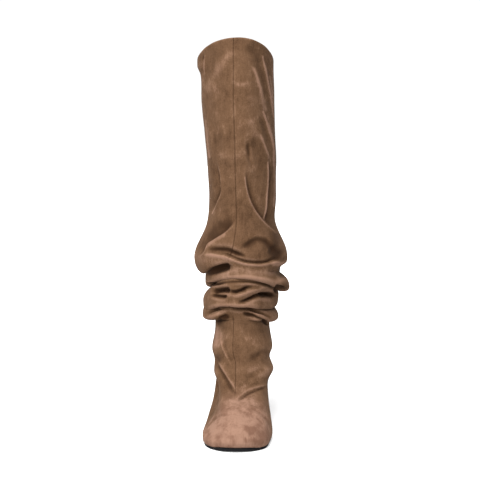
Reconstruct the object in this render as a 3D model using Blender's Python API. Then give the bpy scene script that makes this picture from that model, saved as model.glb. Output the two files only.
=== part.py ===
"""A knee-high slouch boot in suede for the right foot, empty and upright on a block heel.

Lengths are in metres. The toe points to -Y, the outer side of the foot is at -X and Z is up.
The upper is one skin over a grid: levels run from the sole to the collar, and the columns of
a level run from the front round the outer side, the back and the inner side to the front.
"""

import math
from collections import namedtuple

import bmesh
import bpy
import numpy as np

# Driving dimensions
BOOT_HEIGHT = 0.500
FOOT_LENGTH = 0.232
BALL_WIDTH = 0.088
HEEL_HEIGHT = 0.080
HEEL_SEAT_DROP = 0.007
TOE_SPRING = 0.0035
SOLE_THICKNESS = 0.0042
INSOLE_THICKNESS = 0.0018
TOP_PIECE_THICKNESS = 0.0060
WALL = 0.0018
LASTING_MARGIN = 0.0070
HEM_STEP = 0.0008
SEAM_DEPTH = 0.0007
EDGE_ROUNDING = 0.0010
GAP = 0.0003
SOLE_GAP = 0.0005

# Width of the foot's lower edge as a share of the widest outline just above it
FEATHER_WIDTH = 0.98

# Places along the foot, as shares of its length from the toe
TOE_FLAT = 0.11
BALL_FLAT = 0.31
HEEL_BREAST = 0.80

# Columns round the boot: the front seam has two narrow ones beside it
SEAM_ANGLE = 0.04
HALF_COLUMNS = 24
HEEL_COLUMNS = 21

# Edges bent by more than these angles, in degrees, are shaded sharp
CLOTH_SHARP = 50
HARD_SHARP = 40

# Half widths of the tread outline, as shares of the ball width, over the share along the foot.
# Each is divided by the roundness of an ellipse, so the ends close by themselves.
Outline = namedtuple("Outline", "along outer inner")
TREAD = (
    Outline(0.00, 0.650, 0.650),
    Outline(0.10, 0.620, 0.625),
    Outline(0.20, 0.570, 0.580),
    Outline(0.30, 0.528, 0.542),
    Outline(0.42, 0.478, 0.462),
    Outline(0.55, 0.395, 0.365),
    Outline(0.70, 0.365, 0.330),
    Outline(0.85, 0.430, 0.415),
    Outline(1.00, 0.500, 0.500),
)

# Levels of the upper before it slouches. Places along the foot are shares of its length, heights
# shares of the boot's height, half widths shares of the ball width. Shaft is how far the level
# has turned from the tread outline into the oval of the shaft, and blunt how full its front is.
Level = namedtuple("Level", "front front_z back back_z outer inner shaft blunt")
LEVELS = (
    Level(0.006, 0.0164, 0.994, 0.1600, 0.488, 0.490, 0.00, 0.00),
    Level(0.000, 0.0280, 1.000, 0.1780, 0.498, 0.504, 0.03, 0.00),
    Level(0.018, 0.0500, 1.006, 0.2000, 0.378, 0.482, 0.20, 0.00),
    Level(0.080, 0.0700, 1.004, 0.2200, 0.306, 0.448, 0.50, 0.02),
    Level(0.175, 0.0920, 0.998, 0.2360, 0.310, 0.430, 0.68, 0.04),
    Level(0.270, 0.1160, 0.990, 0.2510, 0.345, 0.428, 0.84, 0.04),
    Level(0.345, 0.1500, 0.982, 0.2660, 0.380, 0.430, 0.94, 0.03),
    Level(0.415, 0.2000, 0.974, 0.2800, 0.385, 0.426, 1.00, 0.02),
    Level(0.470, 0.2540, 0.970, 0.2960, 0.388, 0.424, 1.00, 0.01),
    Level(0.492, 0.3100, 0.976, 0.3200, 0.405, 0.445, 1.00, 0.00),
    Level(0.488, 0.3800, 0.990, 0.3800, 0.430, 0.490, 1.00, 0.00),
    Level(0.490, 0.4480, 0.996, 0.4440, 0.500, 0.515, 1.00, 0.00),
    Level(0.500, 0.5300, 0.985, 0.5240, 0.478, 0.470, 1.00, 0.00),
    Level(0.492, 0.6000, 0.986, 0.5880, 0.476, 0.514, 1.00, 0.00),
    Level(0.478, 0.7000, 0.992, 0.6800, 0.510, 0.514, 1.00, 0.00),
    Level(0.460, 0.8300, 1.002, 0.7860, 0.556, 0.500, 1.00, 0.00),
    Level(0.446, 0.9500, 1.012, 0.8620, 0.640, 0.495, 1.00, 0.00),
    Level(0.440, 1.0000, 1.016, 0.8920, 0.655, 0.492, 1.00, 0.00),
)
FIRST_ROW = 0.45
FOOT_TOP = 7
SLOUCH_TOP = 12
HEM_LEVELS = 0.35

# Grid rows between the levels of the foot, the slouch and the plain shaft
FOOT_ROWS = 13
SLOUCH_ROWS = 31
SHAFT_ROWS = 9

# Heel sections from the seat down: share of the way down, size as a share of the seat's
# outline, and how far the section stands forward as a share of the foot's length.
HeelSection = namedtuple("HeelSection", "down size forward")
HEEL = (
    HeelSection(0.00, 0.965, 0.000),
    HeelSection(0.25, 0.900, 0.002),
    HeelSection(0.55, 0.850, 0.004),
    HeelSection(0.80, 0.830, 0.005),
    HeelSection(1.00, 0.830, 0.005),
)

# Slouch folds. Height of the crest and swell of the fold are given at the front, outer side,
# back and inner side, as shares of the boot's height and of the ball width. Above and below are
# the fold's reach to either side of the crest and droop how far the crest hangs, as shares of
# the boot's height.
Fold = namedtuple("Fold", "height swell above below droop")
FOLDS = (
    Fold((0.456, 0.436, 0.446, 0.440), (0.130, 0.180, 0.130, 0.160), 0.060, 0.024, 0.014),
    Fold((0.408, 0.384, 0.400, 0.370), (0.110, 0.120, 0.120, 0.210), 0.028, 0.018, 0.012),
    Fold((0.346, 0.318, 0.336, 0.332), (0.125, 0.165, 0.130, 0.105), 0.028, 0.018, 0.012),
    Fold((0.306, 0.288, 0.296, 0.280), (0.060, 0.165, 0.090, 0.090), 0.020, 0.016, 0.009),
    Fold((0.226, 0.210, 0.232, 0.214), (0.020, 0.035, 0.040, 0.050), 0.028, 0.022, 0.006),
    Fold((0.170, 0.156, 0.200, 0.150), (0.016, 0.020, 0.010, 0.075), 0.022, 0.018, 0.004),
)

# Creases and ridges seen from the front: the points of each as shares of the ball width across
# and of the boot's height up, its half width and its depth (a ridge below zero) as shares of
# the ball width.
Crease = namedtuple("Crease", "points half_width depth")
CREASES = (
    Crease(((-0.40, 0.185), (-0.20, 0.140), (0.02, 0.104)), 0.050, 0.030),
    Crease(((0.38, 0.150), (0.20, 0.128), (0.04, 0.104)), 0.055, 0.036),
    Crease(((0.12, 0.168), (0.38, 0.180)), 0.070, -0.026),
    Crease(((0.20, 0.730), (0.30, 0.640), (0.34, 0.560)), 0.085, 0.040),
    Crease(((0.30, 0.930), (0.36, 0.860)), 0.110, 0.036),
    Crease(((-0.16, 0.660), (-0.30, 0.560)), 0.070, -0.022),
    Crease(((0.02, 0.530), (-0.32, 0.460)), 0.070, -0.020),
)


def through(stations, values, at):
    """Smooth curve through the values at the stations, without overshoot."""
    stations = np.asarray(stations, float)
    values = np.asarray(values, float)
    step = np.diff(stations)
    slope = np.diff(values) / step
    tangent = np.concatenate((slope[:1], np.zeros(len(values) - 2), slope[-1:]))
    rising = slope[:-1] * slope[1:] > 0
    product = 2 * slope[:-1] * slope[1:]
    tangent[1:-1] = np.where(rising, product / np.where(rising, slope[:-1] + slope[1:], 1), 0)
    span = np.clip(np.searchsorted(stations, at, side="right") - 1, 0, len(step) - 1)
    t = (at - stations[span]) / step[span]
    start = values[span] + t * t * (3 - 2 * t) * (values[span + 1] - values[span])
    bend = tangent[span] * t * (1 - t) ** 2 - tangent[span + 1] * t * t * (1 - t)
    return start + bend * step[span]


def column(rows, name):
    """One named column of a table."""
    return [getattr(row, name) for row in rows]


def foot_y(along):
    """Place along the foot in metres, with the middle of the foot at zero."""
    return (np.asarray(along) - 0.5) * FOOT_LENGTH


def feather_height(along):
    """Height of the upper's lower edge: toe spring, flat ball, rising shank, straight heel seat."""
    along = np.asarray(along, float)
    flat = SOLE_THICKNESS + SOLE_GAP
    toe = flat + TOE_SPRING * np.clip((TOE_FLAT - along) / TOE_FLAT, 0, None) ** 2
    seat_front = HEEL_HEIGHT - HEEL_SEAT_DROP
    seat_slope = HEEL_SEAT_DROP / (1 - HEEL_BREAST)
    run = HEEL_BREAST - BALL_FLAT
    t = np.clip((along - BALL_FLAT) / run, 0, 1)
    shank = flat + (seat_front - flat) * t * t * (3 - 2 * t) - seat_slope * run * t * t * (1 - t)
    seat = seat_front + seat_slope * (along - HEEL_BREAST)
    return np.where(along < BALL_FLAT, toe, np.where(along < HEEL_BREAST, shank, seat))


def columns_round():
    """Angles of the grid's columns, from the front over the outer side and the back."""
    half = np.linspace(SEAM_ANGLE, math.pi, HALF_COLUMNS)
    side = np.concatenate(((0.0,), half))
    return np.concatenate((side, 2 * math.pi - side[-2:0:-1]))


def round_the_leg(quarters, angle):
    """Smooth value round the boot through the four given at front, outer side, back, inner side."""
    front, outer, back, inner = quarters
    mean = (front + outer + back + inner) / 4
    turn = (front - back) / 2 * np.cos(angle) + (outer - inner) / 2 * np.sin(angle)
    return mean + turn + (front - outer + back - inner) / 4 * np.cos(2 * angle)


def tread_half_width(along, angle):
    """Half width of the tread outline on the side of the angle, negative on the outer side."""
    outer = through(column(TREAD, "along"), column(TREAD, "outer"), along)
    inner = through(column(TREAD, "along"), column(TREAD, "inner"), along)
    return np.where(angle < math.pi, outer, inner) * BALL_WIDTH


def tread_ring(angle, inset):
    """Closed outline of the foot's edge, moved inwards by the inset, lying on the feather line."""
    along = (1 - np.cos(angle)) / 2
    outline = np.stack((-np.sin(angle) * tread_half_width(along, angle), foot_y(along)), axis=1)
    outline = outline * FEATHER_WIDTH
    ahead = np.roll(outline, -1, axis=0) - np.roll(outline, 1, axis=0)
    inward = np.stack((ahead[:, 1], -ahead[:, 0]), axis=1)
    inward = inward / np.linalg.norm(inward, axis=1, keepdims=True)
    outline = outline + inward * inset
    height = feather_height(outline[:, 1] / FOOT_LENGTH + 0.5)
    return np.column_stack((outline, height))


def plain_upper(level, angle):
    """Upper before it slouches, on the grid of levels and angles."""
    stations = np.arange(len(LEVELS))
    size = {name: through(stations, column(LEVELS, name), level) for name in Level._fields}
    level_size = {name: value[:, None] for name, value in size.items()}
    angle = angle[None, :]
    share = (1 - np.cos(angle)) / 2 - level_size["blunt"] * np.sin(angle) ** 2
    along = level_size["front"] + (level_size["back"] - level_size["front"]) * share
    height = level_size["front_z"] + (level_size["back_z"] - level_size["front_z"]) * share
    straight = (LEVELS[0].front_z + (LEVELS[0].back_z - LEVELS[0].front_z) * share) * BOOT_HEIGHT
    sag = (feather_height(share) - straight) * (1 - level_size["shaft"])
    tread = tread_half_width(share, angle) / BALL_WIDTH * 2
    fullness = tread + (1 - tread) * level_size["shaft"]
    side = np.where(angle < math.pi, level_size["outer"], level_size["inner"]) * BALL_WIDTH
    across = -np.sin(angle) * side * fullness
    return np.stack((across, foot_y(along), height * BOOT_HEIGHT + sag), axis=2)


def directions(skin):
    """Outward normal and upward direction along the skin at every point of its grid."""
    up = np.gradient(skin, axis=0)
    round_it = np.roll(skin, -1, axis=1) - np.roll(skin, 1, axis=1)
    outward = np.cross(up, round_it)
    outward = outward / np.linalg.norm(outward, axis=2, keepdims=True)
    return outward, up / np.linalg.norm(up, axis=2, keepdims=True)


def slouch(skin, angle):
    """Skin with the slouch folds: each swells outwards and its crest hangs down."""
    outward, upward = directions(skin)
    moved = skin.copy()
    height = skin[:, :, 2] / BOOT_HEIGHT
    for fold in FOLDS:
        above_crest = height - round_the_leg(fold.height, angle)[None, :]
        reach = np.where(above_crest > 0, fold.above, fold.below)
        bump = np.exp(-((above_crest / reach) ** 2))[:, :, None]
        swell = (round_the_leg(fold.swell, angle) * BALL_WIDTH)[None, :, None]
        moved += bump * swell * outward
        moved -= bump * fold.droop * BOOT_HEIGHT * upward
    return moved


def distance_to_line(across, height, points):
    """Distance in the front view from each place to a line through the points."""
    nearest = np.full(across.shape, np.inf)
    for (x0, z0), (x1, z1) in zip(points[:-1], points[1:]):
        length = (x1 - x0) ** 2 + (z1 - z0) ** 2
        t = np.clip(((across - x0) * (x1 - x0) + (height - z0) * (z1 - z0)) / length, 0, 1)
        gap = np.hypot(across - x0 - t * (x1 - x0), height - z0 - t * (z1 - z0))
        nearest = np.minimum(nearest, gap)
    return nearest


def crease(skin, angle):
    """Skin with the creases of the front and the narrow groove of the front seam."""
    outward, _ = directions(skin)
    front = np.clip(np.cos(angle) * 2, 0, 1)[None, :]
    relief = np.zeros(skin.shape[:2])
    for row in CREASES:
        points = [(x * BALL_WIDTH, z * BOOT_HEIGHT) for x, z in row.points]
        away = distance_to_line(skin[:, :, 0], skin[:, :, 2], points) / (row.half_width * BALL_WIDTH)
        relief -= row.depth * BALL_WIDTH * np.exp(-away ** 2) * front
    relief[:, 0] -= SEAM_DEPTH
    return skin + relief[:, :, None] * outward


def upper_skins():
    """Outer and inner skin of the upper, from the lasting margin to the collar."""
    angle = columns_round()
    foot = np.linspace(FIRST_ROW, FOOT_TOP, FOOT_ROWS, endpoint=False)
    folds = np.linspace(FOOT_TOP, SLOUCH_TOP, SLOUCH_ROWS, endpoint=False)
    shaft = np.linspace(SLOUCH_TOP, len(LEVELS) - 1, SHAFT_ROWS)
    hem = shaft[-1] - HEM_LEVELS
    level = np.sort(np.concatenate((foot, folds, shaft, (hem,))))
    outer = crease(slouch(plain_upper(level, angle), angle), angle)
    outward, _ = directions(outer)
    thickness = np.where(level >= hem, WALL + HEM_STEP, WALL)[:, None, None]
    inner = outer - outward * thickness
    margin = tread_ring(angle, LASTING_MARGIN)
    edge = tread_ring(angle, EDGE_ROUNDING)
    inner_edge = tread_ring(angle, EDGE_ROUNDING + WALL)
    rise = np.array((0, 0, WALL))
    outer = np.concatenate((margin[None], edge[None], outer))
    inner = np.concatenate(((margin + rise)[None], (inner_edge + rise)[None], inner))
    return outer, inner


def heel_ring(size, forward):
    """D-shaped outline of the heel: straight breast, round back, shrunk about its middle."""
    breast_angle = math.acos(1 - 2 * HEEL_BREAST)
    angle = np.linspace(breast_angle, 2 * math.pi - breast_angle, HEEL_COLUMNS)
    along = (1 - np.cos(angle)) / 2
    outline = np.stack((-np.sin(angle) * tread_half_width(along, angle), foot_y(along)), axis=1)
    middle = np.array((0.0, foot_y((1 + HEEL_BREAST) / 2)))
    return middle + (outline - middle) * size - np.array((0.0, forward * FOOT_LENGTH))


def seat_underside(y):
    """Height of the sole's lower face over the heel."""
    return feather_height(y / FOOT_LENGTH + 0.5) - SOLE_GAP - SOLE_THICKNESS


def closed_mesh(name, vertices, faces, sharp_degrees):
    """Object of one closed body, faces outward, shaded smooth up to the given edge angle."""
    mesh = bpy.data.meshes.new(name)
    mesh.from_pydata([tuple(point) for point in vertices], [], faces)
    body = bmesh.new()
    body.from_mesh(mesh)
    bmesh.ops.recalc_face_normals(body, faces=body.faces[:])
    for face in body.faces:
        face.smooth = True
    for edge in body.edges:
        edge.smooth = edge.calc_face_angle(0) < math.radians(sharp_degrees)
    body.to_mesh(mesh)
    body.free()
    shape = bpy.data.objects.new(name, mesh)
    bpy.context.scene.collection.objects.link(shape)
    return shape


def wall_faces(rows, count):
    """Quads between neighbouring closed rings of a stack."""
    faces = []
    for row in range(rows - 1):
        for place in range(count):
            after = (place + 1) % count
            low, high = row * count, (row + 1) * count
            faces.append((low + place, low + after, high + after, high + place))
    return faces


def cap_faces(start, count):
    """Strip of faces across a ring, from its first place to the opposite one."""
    half = count // 2
    faces = [(start, start + 1, start + count - 1)]
    for place in range(1, half - 1):
        far = count - place
        faces.append((start + place, start + place + 1, start + far - 1, start + far))
    if count % 2 == 0:
        faces.append((start + half - 1, start + half, start + half + 1))
    else:
        faces.append((start + half - 1, start + half, start + half + 1, start + half + 2))
    return faces


def stacked(name, rings, sharp_degrees):
    """Solid between the first and last ring of a stack, closed by a strip at either end."""
    count = len(rings[0])
    faces = wall_faces(len(rings), count)
    faces += cap_faces(0, count) + cap_faces((len(rings) - 1) * count, count)
    return closed_mesh(name, np.concatenate(rings), faces, sharp_degrees)


def make_upper():
    """Hollow upper: outer skin, inner skin, and the edges that join them."""
    outer, inner = upper_skins()
    rows, count = outer.shape[:2]
    loop = np.concatenate((outer, inner[::-1]))
    faces = wall_faces(2 * rows, count)
    last = (2 * rows - 1) * count
    for place in range(count):
        after = (place + 1) % count
        faces.append((last + place, last + after, after, place))
    return closed_mesh("upper", loop.reshape(-1, 3), faces, CLOTH_SHARP)


def make_insole():
    """Thin insole lying on the lasting margin inside the wall."""
    inset = EDGE_ROUNDING + WALL + 4 * GAP
    ring = tread_ring(columns_round(), inset)
    low = ring + np.array((0, 0, WALL + SOLE_GAP))
    high = low + np.array((0, 0, INSOLE_THICKNESS))
    return stacked("insole", [low, high], HARD_SHARP)


def make_outsole():
    """Thin sole under the whole foot, its edge slightly rounded at the tread."""
    angle = columns_round()
    top = tread_ring(angle, 0.0) - np.array((0, 0, SOLE_GAP))
    low_edge = tread_ring(angle, EDGE_ROUNDING / 2)
    low_edge = low_edge - np.array((0, 0, SOLE_GAP + SOLE_THICKNESS - EDGE_ROUNDING / 2))
    tread = tread_ring(angle, EDGE_ROUNDING) - np.array((0, 0, SOLE_GAP + SOLE_THICKNESS))
    return stacked("outsole", [tread, low_edge, top], HARD_SHARP)


def make_heel_block():
    """Block heel that narrows from the seat to the top piece."""
    foot = TOP_PIECE_THICKNESS + GAP
    rings = []
    for section in HEEL:
        outline = heel_ring(section.size, section.forward)
        seat = seat_underside(outline[:, 1]) - SOLE_GAP
        rings.append(np.column_stack((outline, seat + (foot - seat) * section.down)))
    return stacked("heel_block", rings[::-1], HARD_SHARP)


def make_top_piece():
    """Rubber lift under the heel block, its lower edge slightly rounded."""
    foot = HEEL[-1]
    outline = heel_ring(foot.size, foot.forward)
    tread = heel_ring(foot.size - EDGE_ROUNDING / BALL_WIDTH, foot.forward)
    rings = [np.column_stack((tread, np.zeros(HEEL_COLUMNS)))]
    for height in (EDGE_ROUNDING / 2, TOP_PIECE_THICKNESS):
        rings.append(np.column_stack((outline, np.full(HEEL_COLUMNS, height))))
    return stacked("top_piece", rings, HARD_SHARP)


def finish(shape, name, colour, roughness):
    """Give the piece its own plain material."""
    material = bpy.data.materials.new(name)
    material.use_nodes = True
    shader = material.node_tree.nodes["Principled BSDF"]
    shader.inputs["Base Color"].default_value = (*colour, 1.0)
    shader.inputs["Roughness"].default_value = roughness
    shader.inputs["Metallic"].default_value = 0.0
    shape.data.materials.append(material)


def centre_on_floor(shapes):
    """Move the boot so that its box stands with the middle of its underside at the origin."""
    points = np.concatenate([[tuple(v.co) for v in shape.data.vertices] for shape in shapes])
    low, high = points.min(axis=0), points.max(axis=0)
    middle = (low + high) / 2
    for shape in shapes:
        for vertex in shape.data.vertices:
            vertex.co.x -= middle[0]
            vertex.co.y -= middle[1]
            vertex.co.z -= low[2]


def build_boot():
    """Build every piece of the boot."""
    for thing in list(bpy.data.objects):
        bpy.data.objects.remove(thing, do_unlink=True)
    upper = make_upper()
    insole = make_insole()
    outsole = make_outsole()
    heel_block = make_heel_block()
    top_piece = make_top_piece()
    finish(upper, "taupe suede", (0.225, 0.128, 0.075), 0.92)
    finish(insole, "tan lining leather", (0.33, 0.21, 0.13), 0.70)
    finish(outsole, "charcoal sole rubber", (0.028, 0.027, 0.028), 0.60)
    finish(heel_block, "taupe suede cover", (0.225, 0.128, 0.075), 0.92)
    finish(top_piece, "charcoal heel rubber", (0.022, 0.022, 0.023), 0.65)
    centre_on_floor([upper, insole, outsole, heel_block, top_piece])


build_boot()
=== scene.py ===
"""Looks of a knee-high slouch boot in taupe suede, the right boot of a pair.

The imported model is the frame. Finer pieces take the places of its nodes: the gathered suede upper
with its creases, the covered heel, the thin sole, the top piece and the insole. Lengths are in
metres unless a name says millimetres. The toe points to -Y and the outer side of the foot is -X.
"""

import logging
import math
from dataclasses import dataclass, fields, replace
from enum import Enum
from typing import Any, Callable, Sequence, Union

import bpy
import numpy as np
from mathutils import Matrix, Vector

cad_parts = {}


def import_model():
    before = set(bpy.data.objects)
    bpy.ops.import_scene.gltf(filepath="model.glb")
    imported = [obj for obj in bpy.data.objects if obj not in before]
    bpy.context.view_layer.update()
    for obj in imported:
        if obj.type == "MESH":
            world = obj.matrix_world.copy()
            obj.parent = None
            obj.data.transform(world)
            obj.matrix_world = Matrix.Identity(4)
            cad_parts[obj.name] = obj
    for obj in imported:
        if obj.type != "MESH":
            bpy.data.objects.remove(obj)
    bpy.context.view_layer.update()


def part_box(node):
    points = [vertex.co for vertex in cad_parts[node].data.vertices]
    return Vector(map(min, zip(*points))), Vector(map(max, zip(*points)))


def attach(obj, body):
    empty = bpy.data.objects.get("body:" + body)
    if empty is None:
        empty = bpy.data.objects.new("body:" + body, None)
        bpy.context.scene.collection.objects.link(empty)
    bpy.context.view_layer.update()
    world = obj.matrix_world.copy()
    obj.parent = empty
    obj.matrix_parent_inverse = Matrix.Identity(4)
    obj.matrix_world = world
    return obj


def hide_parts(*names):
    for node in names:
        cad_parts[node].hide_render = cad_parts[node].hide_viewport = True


LOG = logging.getLogger("slouch_boot")
MM = 0.001
TAU = 2 * math.pi
TINY = 1e-12

Colour = tuple[float, float, float]
Point2 = tuple[float, float]
Point3 = tuple[float, float, float]
Quarters = tuple[float, float, float, float]


class Side(Enum):
    """Skins of the upper, by the index of their material."""

    SUEDE = 0
    LINING = 1


# Tables of the form


@dataclass(frozen=True)
class Outline:
    """Half widths of the tread, as shares of the ball width, at a share along the foot."""

    along: float
    outer: float
    inner: float


@dataclass(frozen=True)
class Level:
    """One level of the upper: shares of foot length, boot height and ball width."""

    front: float
    front_z: float
    back: float
    back_z: float
    outer: float
    inner: float
    shaft: float
    blunt: float


@dataclass(frozen=True)
class Lobe:
    """Round lobe of slouched cloth, with values at the front, outer side, back and inner side.

    Crest and crease are heights as shares of the boot's, the crease being the one below the
    crest; swell and root are how far each stands out, in ball widths. The lobe hangs by its droop.
    Closed and bare hold angles to the outer and the inner side of the front, between which the
    crease closes or the lobe is missing.
    """

    crest: Quarters
    swell: Quarters
    crease: Quarters
    root: Quarters
    droop: float
    closed: Point2 = (0.0, 0.0)
    bare: Point2 = (0.0, 0.0)


@dataclass(frozen=True)
class Notch:
    """Place where the stack of lobes is nipped in: angle and turn, height and reach, and floor."""

    angle: float
    turn: float
    height: float
    reach: float
    floor: float


@dataclass(frozen=True)
class Fold:
    """Soft fold of the foot: height and swell at the four quarters; reach and droop."""

    height: Quarters
    swell: Quarters
    above: float
    below: float
    droop: float


@dataclass(frozen=True)
class Crease:
    """Line on the cloth, in millimetres, with a lift and a reach to its left and to its right.

    Left and right are as seen by someone who walks along the points.
    """

    points: tuple[Point2, ...]
    left: float
    left_reach: float
    right: float
    right_reach: float
    grows: bool = False


@dataclass(frozen=True)
class Ripple:
    """Product of two crossing waves: its share, and radians per metre along x, y and up."""

    share: float
    across: float
    across_up: float
    along: float
    along_up: float


@dataclass(frozen=True)
class Stroke:
    """Place painted paler or darker, for the nap or as painted light and shade: a line in
    millimetres, its tone and its reach.
    """

    points: tuple[Point2, ...]
    tone: float
    reach: float


def trough(points: tuple[Point2, ...], depth: float, reach: float, grows: bool = False) -> Crease:
    """Crease sunk by the depth to either side of its line, at its end alone where it grows."""
    return Crease(points, -depth, reach, -depth, reach, grows)


def ridge(points: tuple[Point2, ...], lift: float, reach: float) -> Crease:
    """Crease lifted to either side of its line."""
    return Crease(points, lift, reach, lift, reach)


TREAD = (
    Outline(0.00, 0.770, 0.860),
    Outline(0.10, 0.692, 0.738),
    Outline(0.20, 0.602, 0.612),
    Outline(0.30, 0.530, 0.548),
    Outline(0.42, 0.454, 0.462),
    Outline(0.55, 0.378, 0.365),
    Outline(0.70, 0.365, 0.330),
    Outline(0.85, 0.430, 0.415),
    Outline(1.00, 0.500, 0.500),
)

LEVELS = (
    Level(0.006, 0.0164, 0.994, 0.1600, 0.488, 0.490, 0.00, 0.00),
    Level(0.000, 0.0280, 1.000, 0.1780, 0.498, 0.504, 0.03, 0.00),
    Level(0.018, 0.0500, 1.006, 0.2000, 0.365, 0.482, 0.20, 0.00),
    Level(0.080, 0.0700, 1.004, 0.2200, 0.284, 0.444, 0.50, 0.02),
    Level(0.175, 0.0920, 0.998, 0.2360, 0.290, 0.426, 0.68, 0.04),
    Level(0.270, 0.1160, 0.990, 0.2510, 0.332, 0.428, 0.84, 0.04),
    Level(0.345, 0.1500, 0.982, 0.2660, 0.380, 0.430, 0.94, 0.03),
    Level(0.415, 0.2000, 0.974, 0.2800, 0.385, 0.426, 1.00, 0.02),
    Level(0.470, 0.2540, 0.970, 0.2960, 0.388, 0.424, 1.00, 0.01),
    Level(0.492, 0.3100, 0.976, 0.3200, 0.405, 0.445, 1.00, 0.00),
    Level(0.488, 0.3800, 0.990, 0.3800, 0.430, 0.490, 1.00, 0.00),
    Level(0.490, 0.4480, 0.996, 0.4440, 0.500, 0.515, 1.00, 0.00),
    Level(0.500, 0.5300, 0.985, 0.5240, 0.478, 0.470, 1.00, 0.00),
    Level(0.492, 0.6000, 0.986, 0.5880, 0.476, 0.514, 1.00, 0.00),
    Level(0.478, 0.7000, 0.992, 0.6800, 0.510, 0.514, 1.00, 0.00),
    Level(0.460, 0.8300, 1.002, 0.7860, 0.566, 0.490, 1.00, 0.00),
    Level(0.446, 0.9500, 1.012, 0.8620, 0.598, 0.480, 1.00, 0.00),
    Level(0.440, 1.0000, 1.016, 0.8920, 0.612, 0.476, 1.00, 0.00),
)
FOOT_TOP = 7
SLOUCH_TOP = 12

LOBES = (
    Lobe((0.474, 0.436, 0.446, 0.442), (0.105, 0.210, 0.130, 0.172),
         (0.430, 0.397, 0.412, 0.398), (0.075, 0.080, 0.050, 0.035), 0.008, closed=(0.42, 1.15)),
    Lobe((0.411, 0.373, 0.384, 0.366), (0.102, 0.115, 0.110, 0.245),
         (0.401, 0.356, 0.362, 0.349), (0.040, -0.015, 0.030, 0.080), 0.006),
    Lobe((0.340, 0.326, 0.342, 0.326), (0.088, 0.170, 0.110, 0.100),
         (0.317, 0.305, 0.322, 0.305), (0.030, 0.168, 0.050, 0.025), 0.004),
    Lobe((0.300, 0.290, 0.304, 0.288), (0.080, 0.190, 0.110, 0.135),
         (0.290, 0.274, 0.286, 0.270), (0.000, 0.000, 0.000, 0.000), 0.006, bare=(0.60, 0.55)),
)
NOTCHES = (Notch(-1.50, 0.60, 0.4050, 0.0150, 0.075),)
BALLOON_REACH = 0.071
WAVER_HEIGHT = 0.007
WAVER_SWELL = 0.30
WAVER_TURNS = (3, 4)
WAVER_STEPS = (2.1, 1.7)
WAVER_LAG = 0.9
WAVER_BEHIND = (0.15, 0.80)

FOLDS = (
    Fold((0.226, 0.208, 0.232, 0.214), (0.020, 0.045, 0.040, 0.050), 0.026, 0.020, 0.006),
    Fold((0.170, 0.158, 0.200, 0.162), (0.016, 0.045, 0.010, 0.075), 0.016, 0.020, 0.004),
)

RIPPLES = (Ripple(1.0, 210, 34, 170, -41), Ripple(0.6, 96, 118, 131, 22))

# Creases of the front, seen from the eye on an upright plane at the front of the shaft
SLOUCH_CREASES = (
    Crease(((-54, 224), (-48, 231), (-43, 242), (-35, 248), (-20, 257), (-12, 264), (-6, 271)),
           -4.4, 9.0, 0.8, 4.0),
    trough(((-24, 273), (-34, 260), (-46, 246)), 2.0, 8.0),
    trough(((-45, 232), (-33, 235), (-18, 234), (-10, 231), (-2, 228), (8, 227)), 4.6, 3.6),
    trough(((-17, 233), (-8, 231), (0, 228), (8, 226)), 1.0, 1.3),
    Crease(((-47, 228), (-36, 229), (-21, 227), (-10, 223), (-2, 220), (9, 217), (23, 216),
            (33, 217), (40, 219), (47, 221), (54, 220)), -4.8, 3.2, 3.0, 4.0),
    Crease(((-2, 233), (6, 241), (15, 247), (24, 250), (33, 248), (41, 240), (46, 230)),
           0.6, 6.0, -3.0, 10.0),
    trough(((38, 238), (47, 231), (54, 224)), 3.5, 8.0),
    ridge(((38, 214), (44, 218), (52, 216)), 2.0, 3.0),
    trough(((-43, 203), (-35, 206), (-26, 209), (-15, 212)), 12.0, 4.4, True),
    ridge(((-16, 217), (-16, 207), (-15, 195)), 1.4, 1.8),
    trough(((-54, 189), (-42, 189), (-30, 190), (-16, 192)), 3.0, 1.8),
    ridge(((-40, 195), (-14, 196), (7, 199), (32, 196), (45, 194)), 1.8, 3.4),
    ridge(((-14, 188), (7, 190), (24, 188), (37, 184)), 1.8, 2.2),
    trough(((43, 186), (52, 183), (59, 185)), 8.0, 4.0),
    trough(((-38, 180), (-24, 182), (-12, 181)), 11.0, 3.2),
    trough(((-16, 180), (-6, 179), (1, 181), (9, 185), (17, 186)), 6.5, 2.0),
    trough(((-38, 176), (-30, 174), (-22, 173), (-16, 175)), 6.0, 2.0),
    ridge(((-10, 174), (1, 176), (12, 180), (21, 183), (31, 185), (41, 182)), 2.6, 2.8),
    trough(((-4, 166), (3, 167), (13, 171), (21, 175), (29, 177), (36, 177), (42, 176),
            (48, 174)), 6.5, 2.0),
    trough(((25, 175), (35, 176), (44, 175)), 8.0, 3.0),
    ridge(((-42, 156), (-33, 162), (-14, 163), (12, 162), (31, 159)), 1.8, 3.6),
    trough(((-45, 150), (-41, 152), (-33, 156), (-24, 158), (-14, 158), (-2, 157), (9, 157),
            (21, 155), (29, 153), (36, 149), (40, 145)), 5.5, 1.8),
    trough(((-29, 144), (-22, 147), (-15, 149)), 4.0, 2.6),
    trough(((2, 153), (8, 151), (16, 150), (23, 147), (29, 143), (34, 139), (36, 136)), 5.5, 1.8),
    ridge(((-43, 146), (-33, 148), (-24, 152)), 2.4, 2.6),
)

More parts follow.
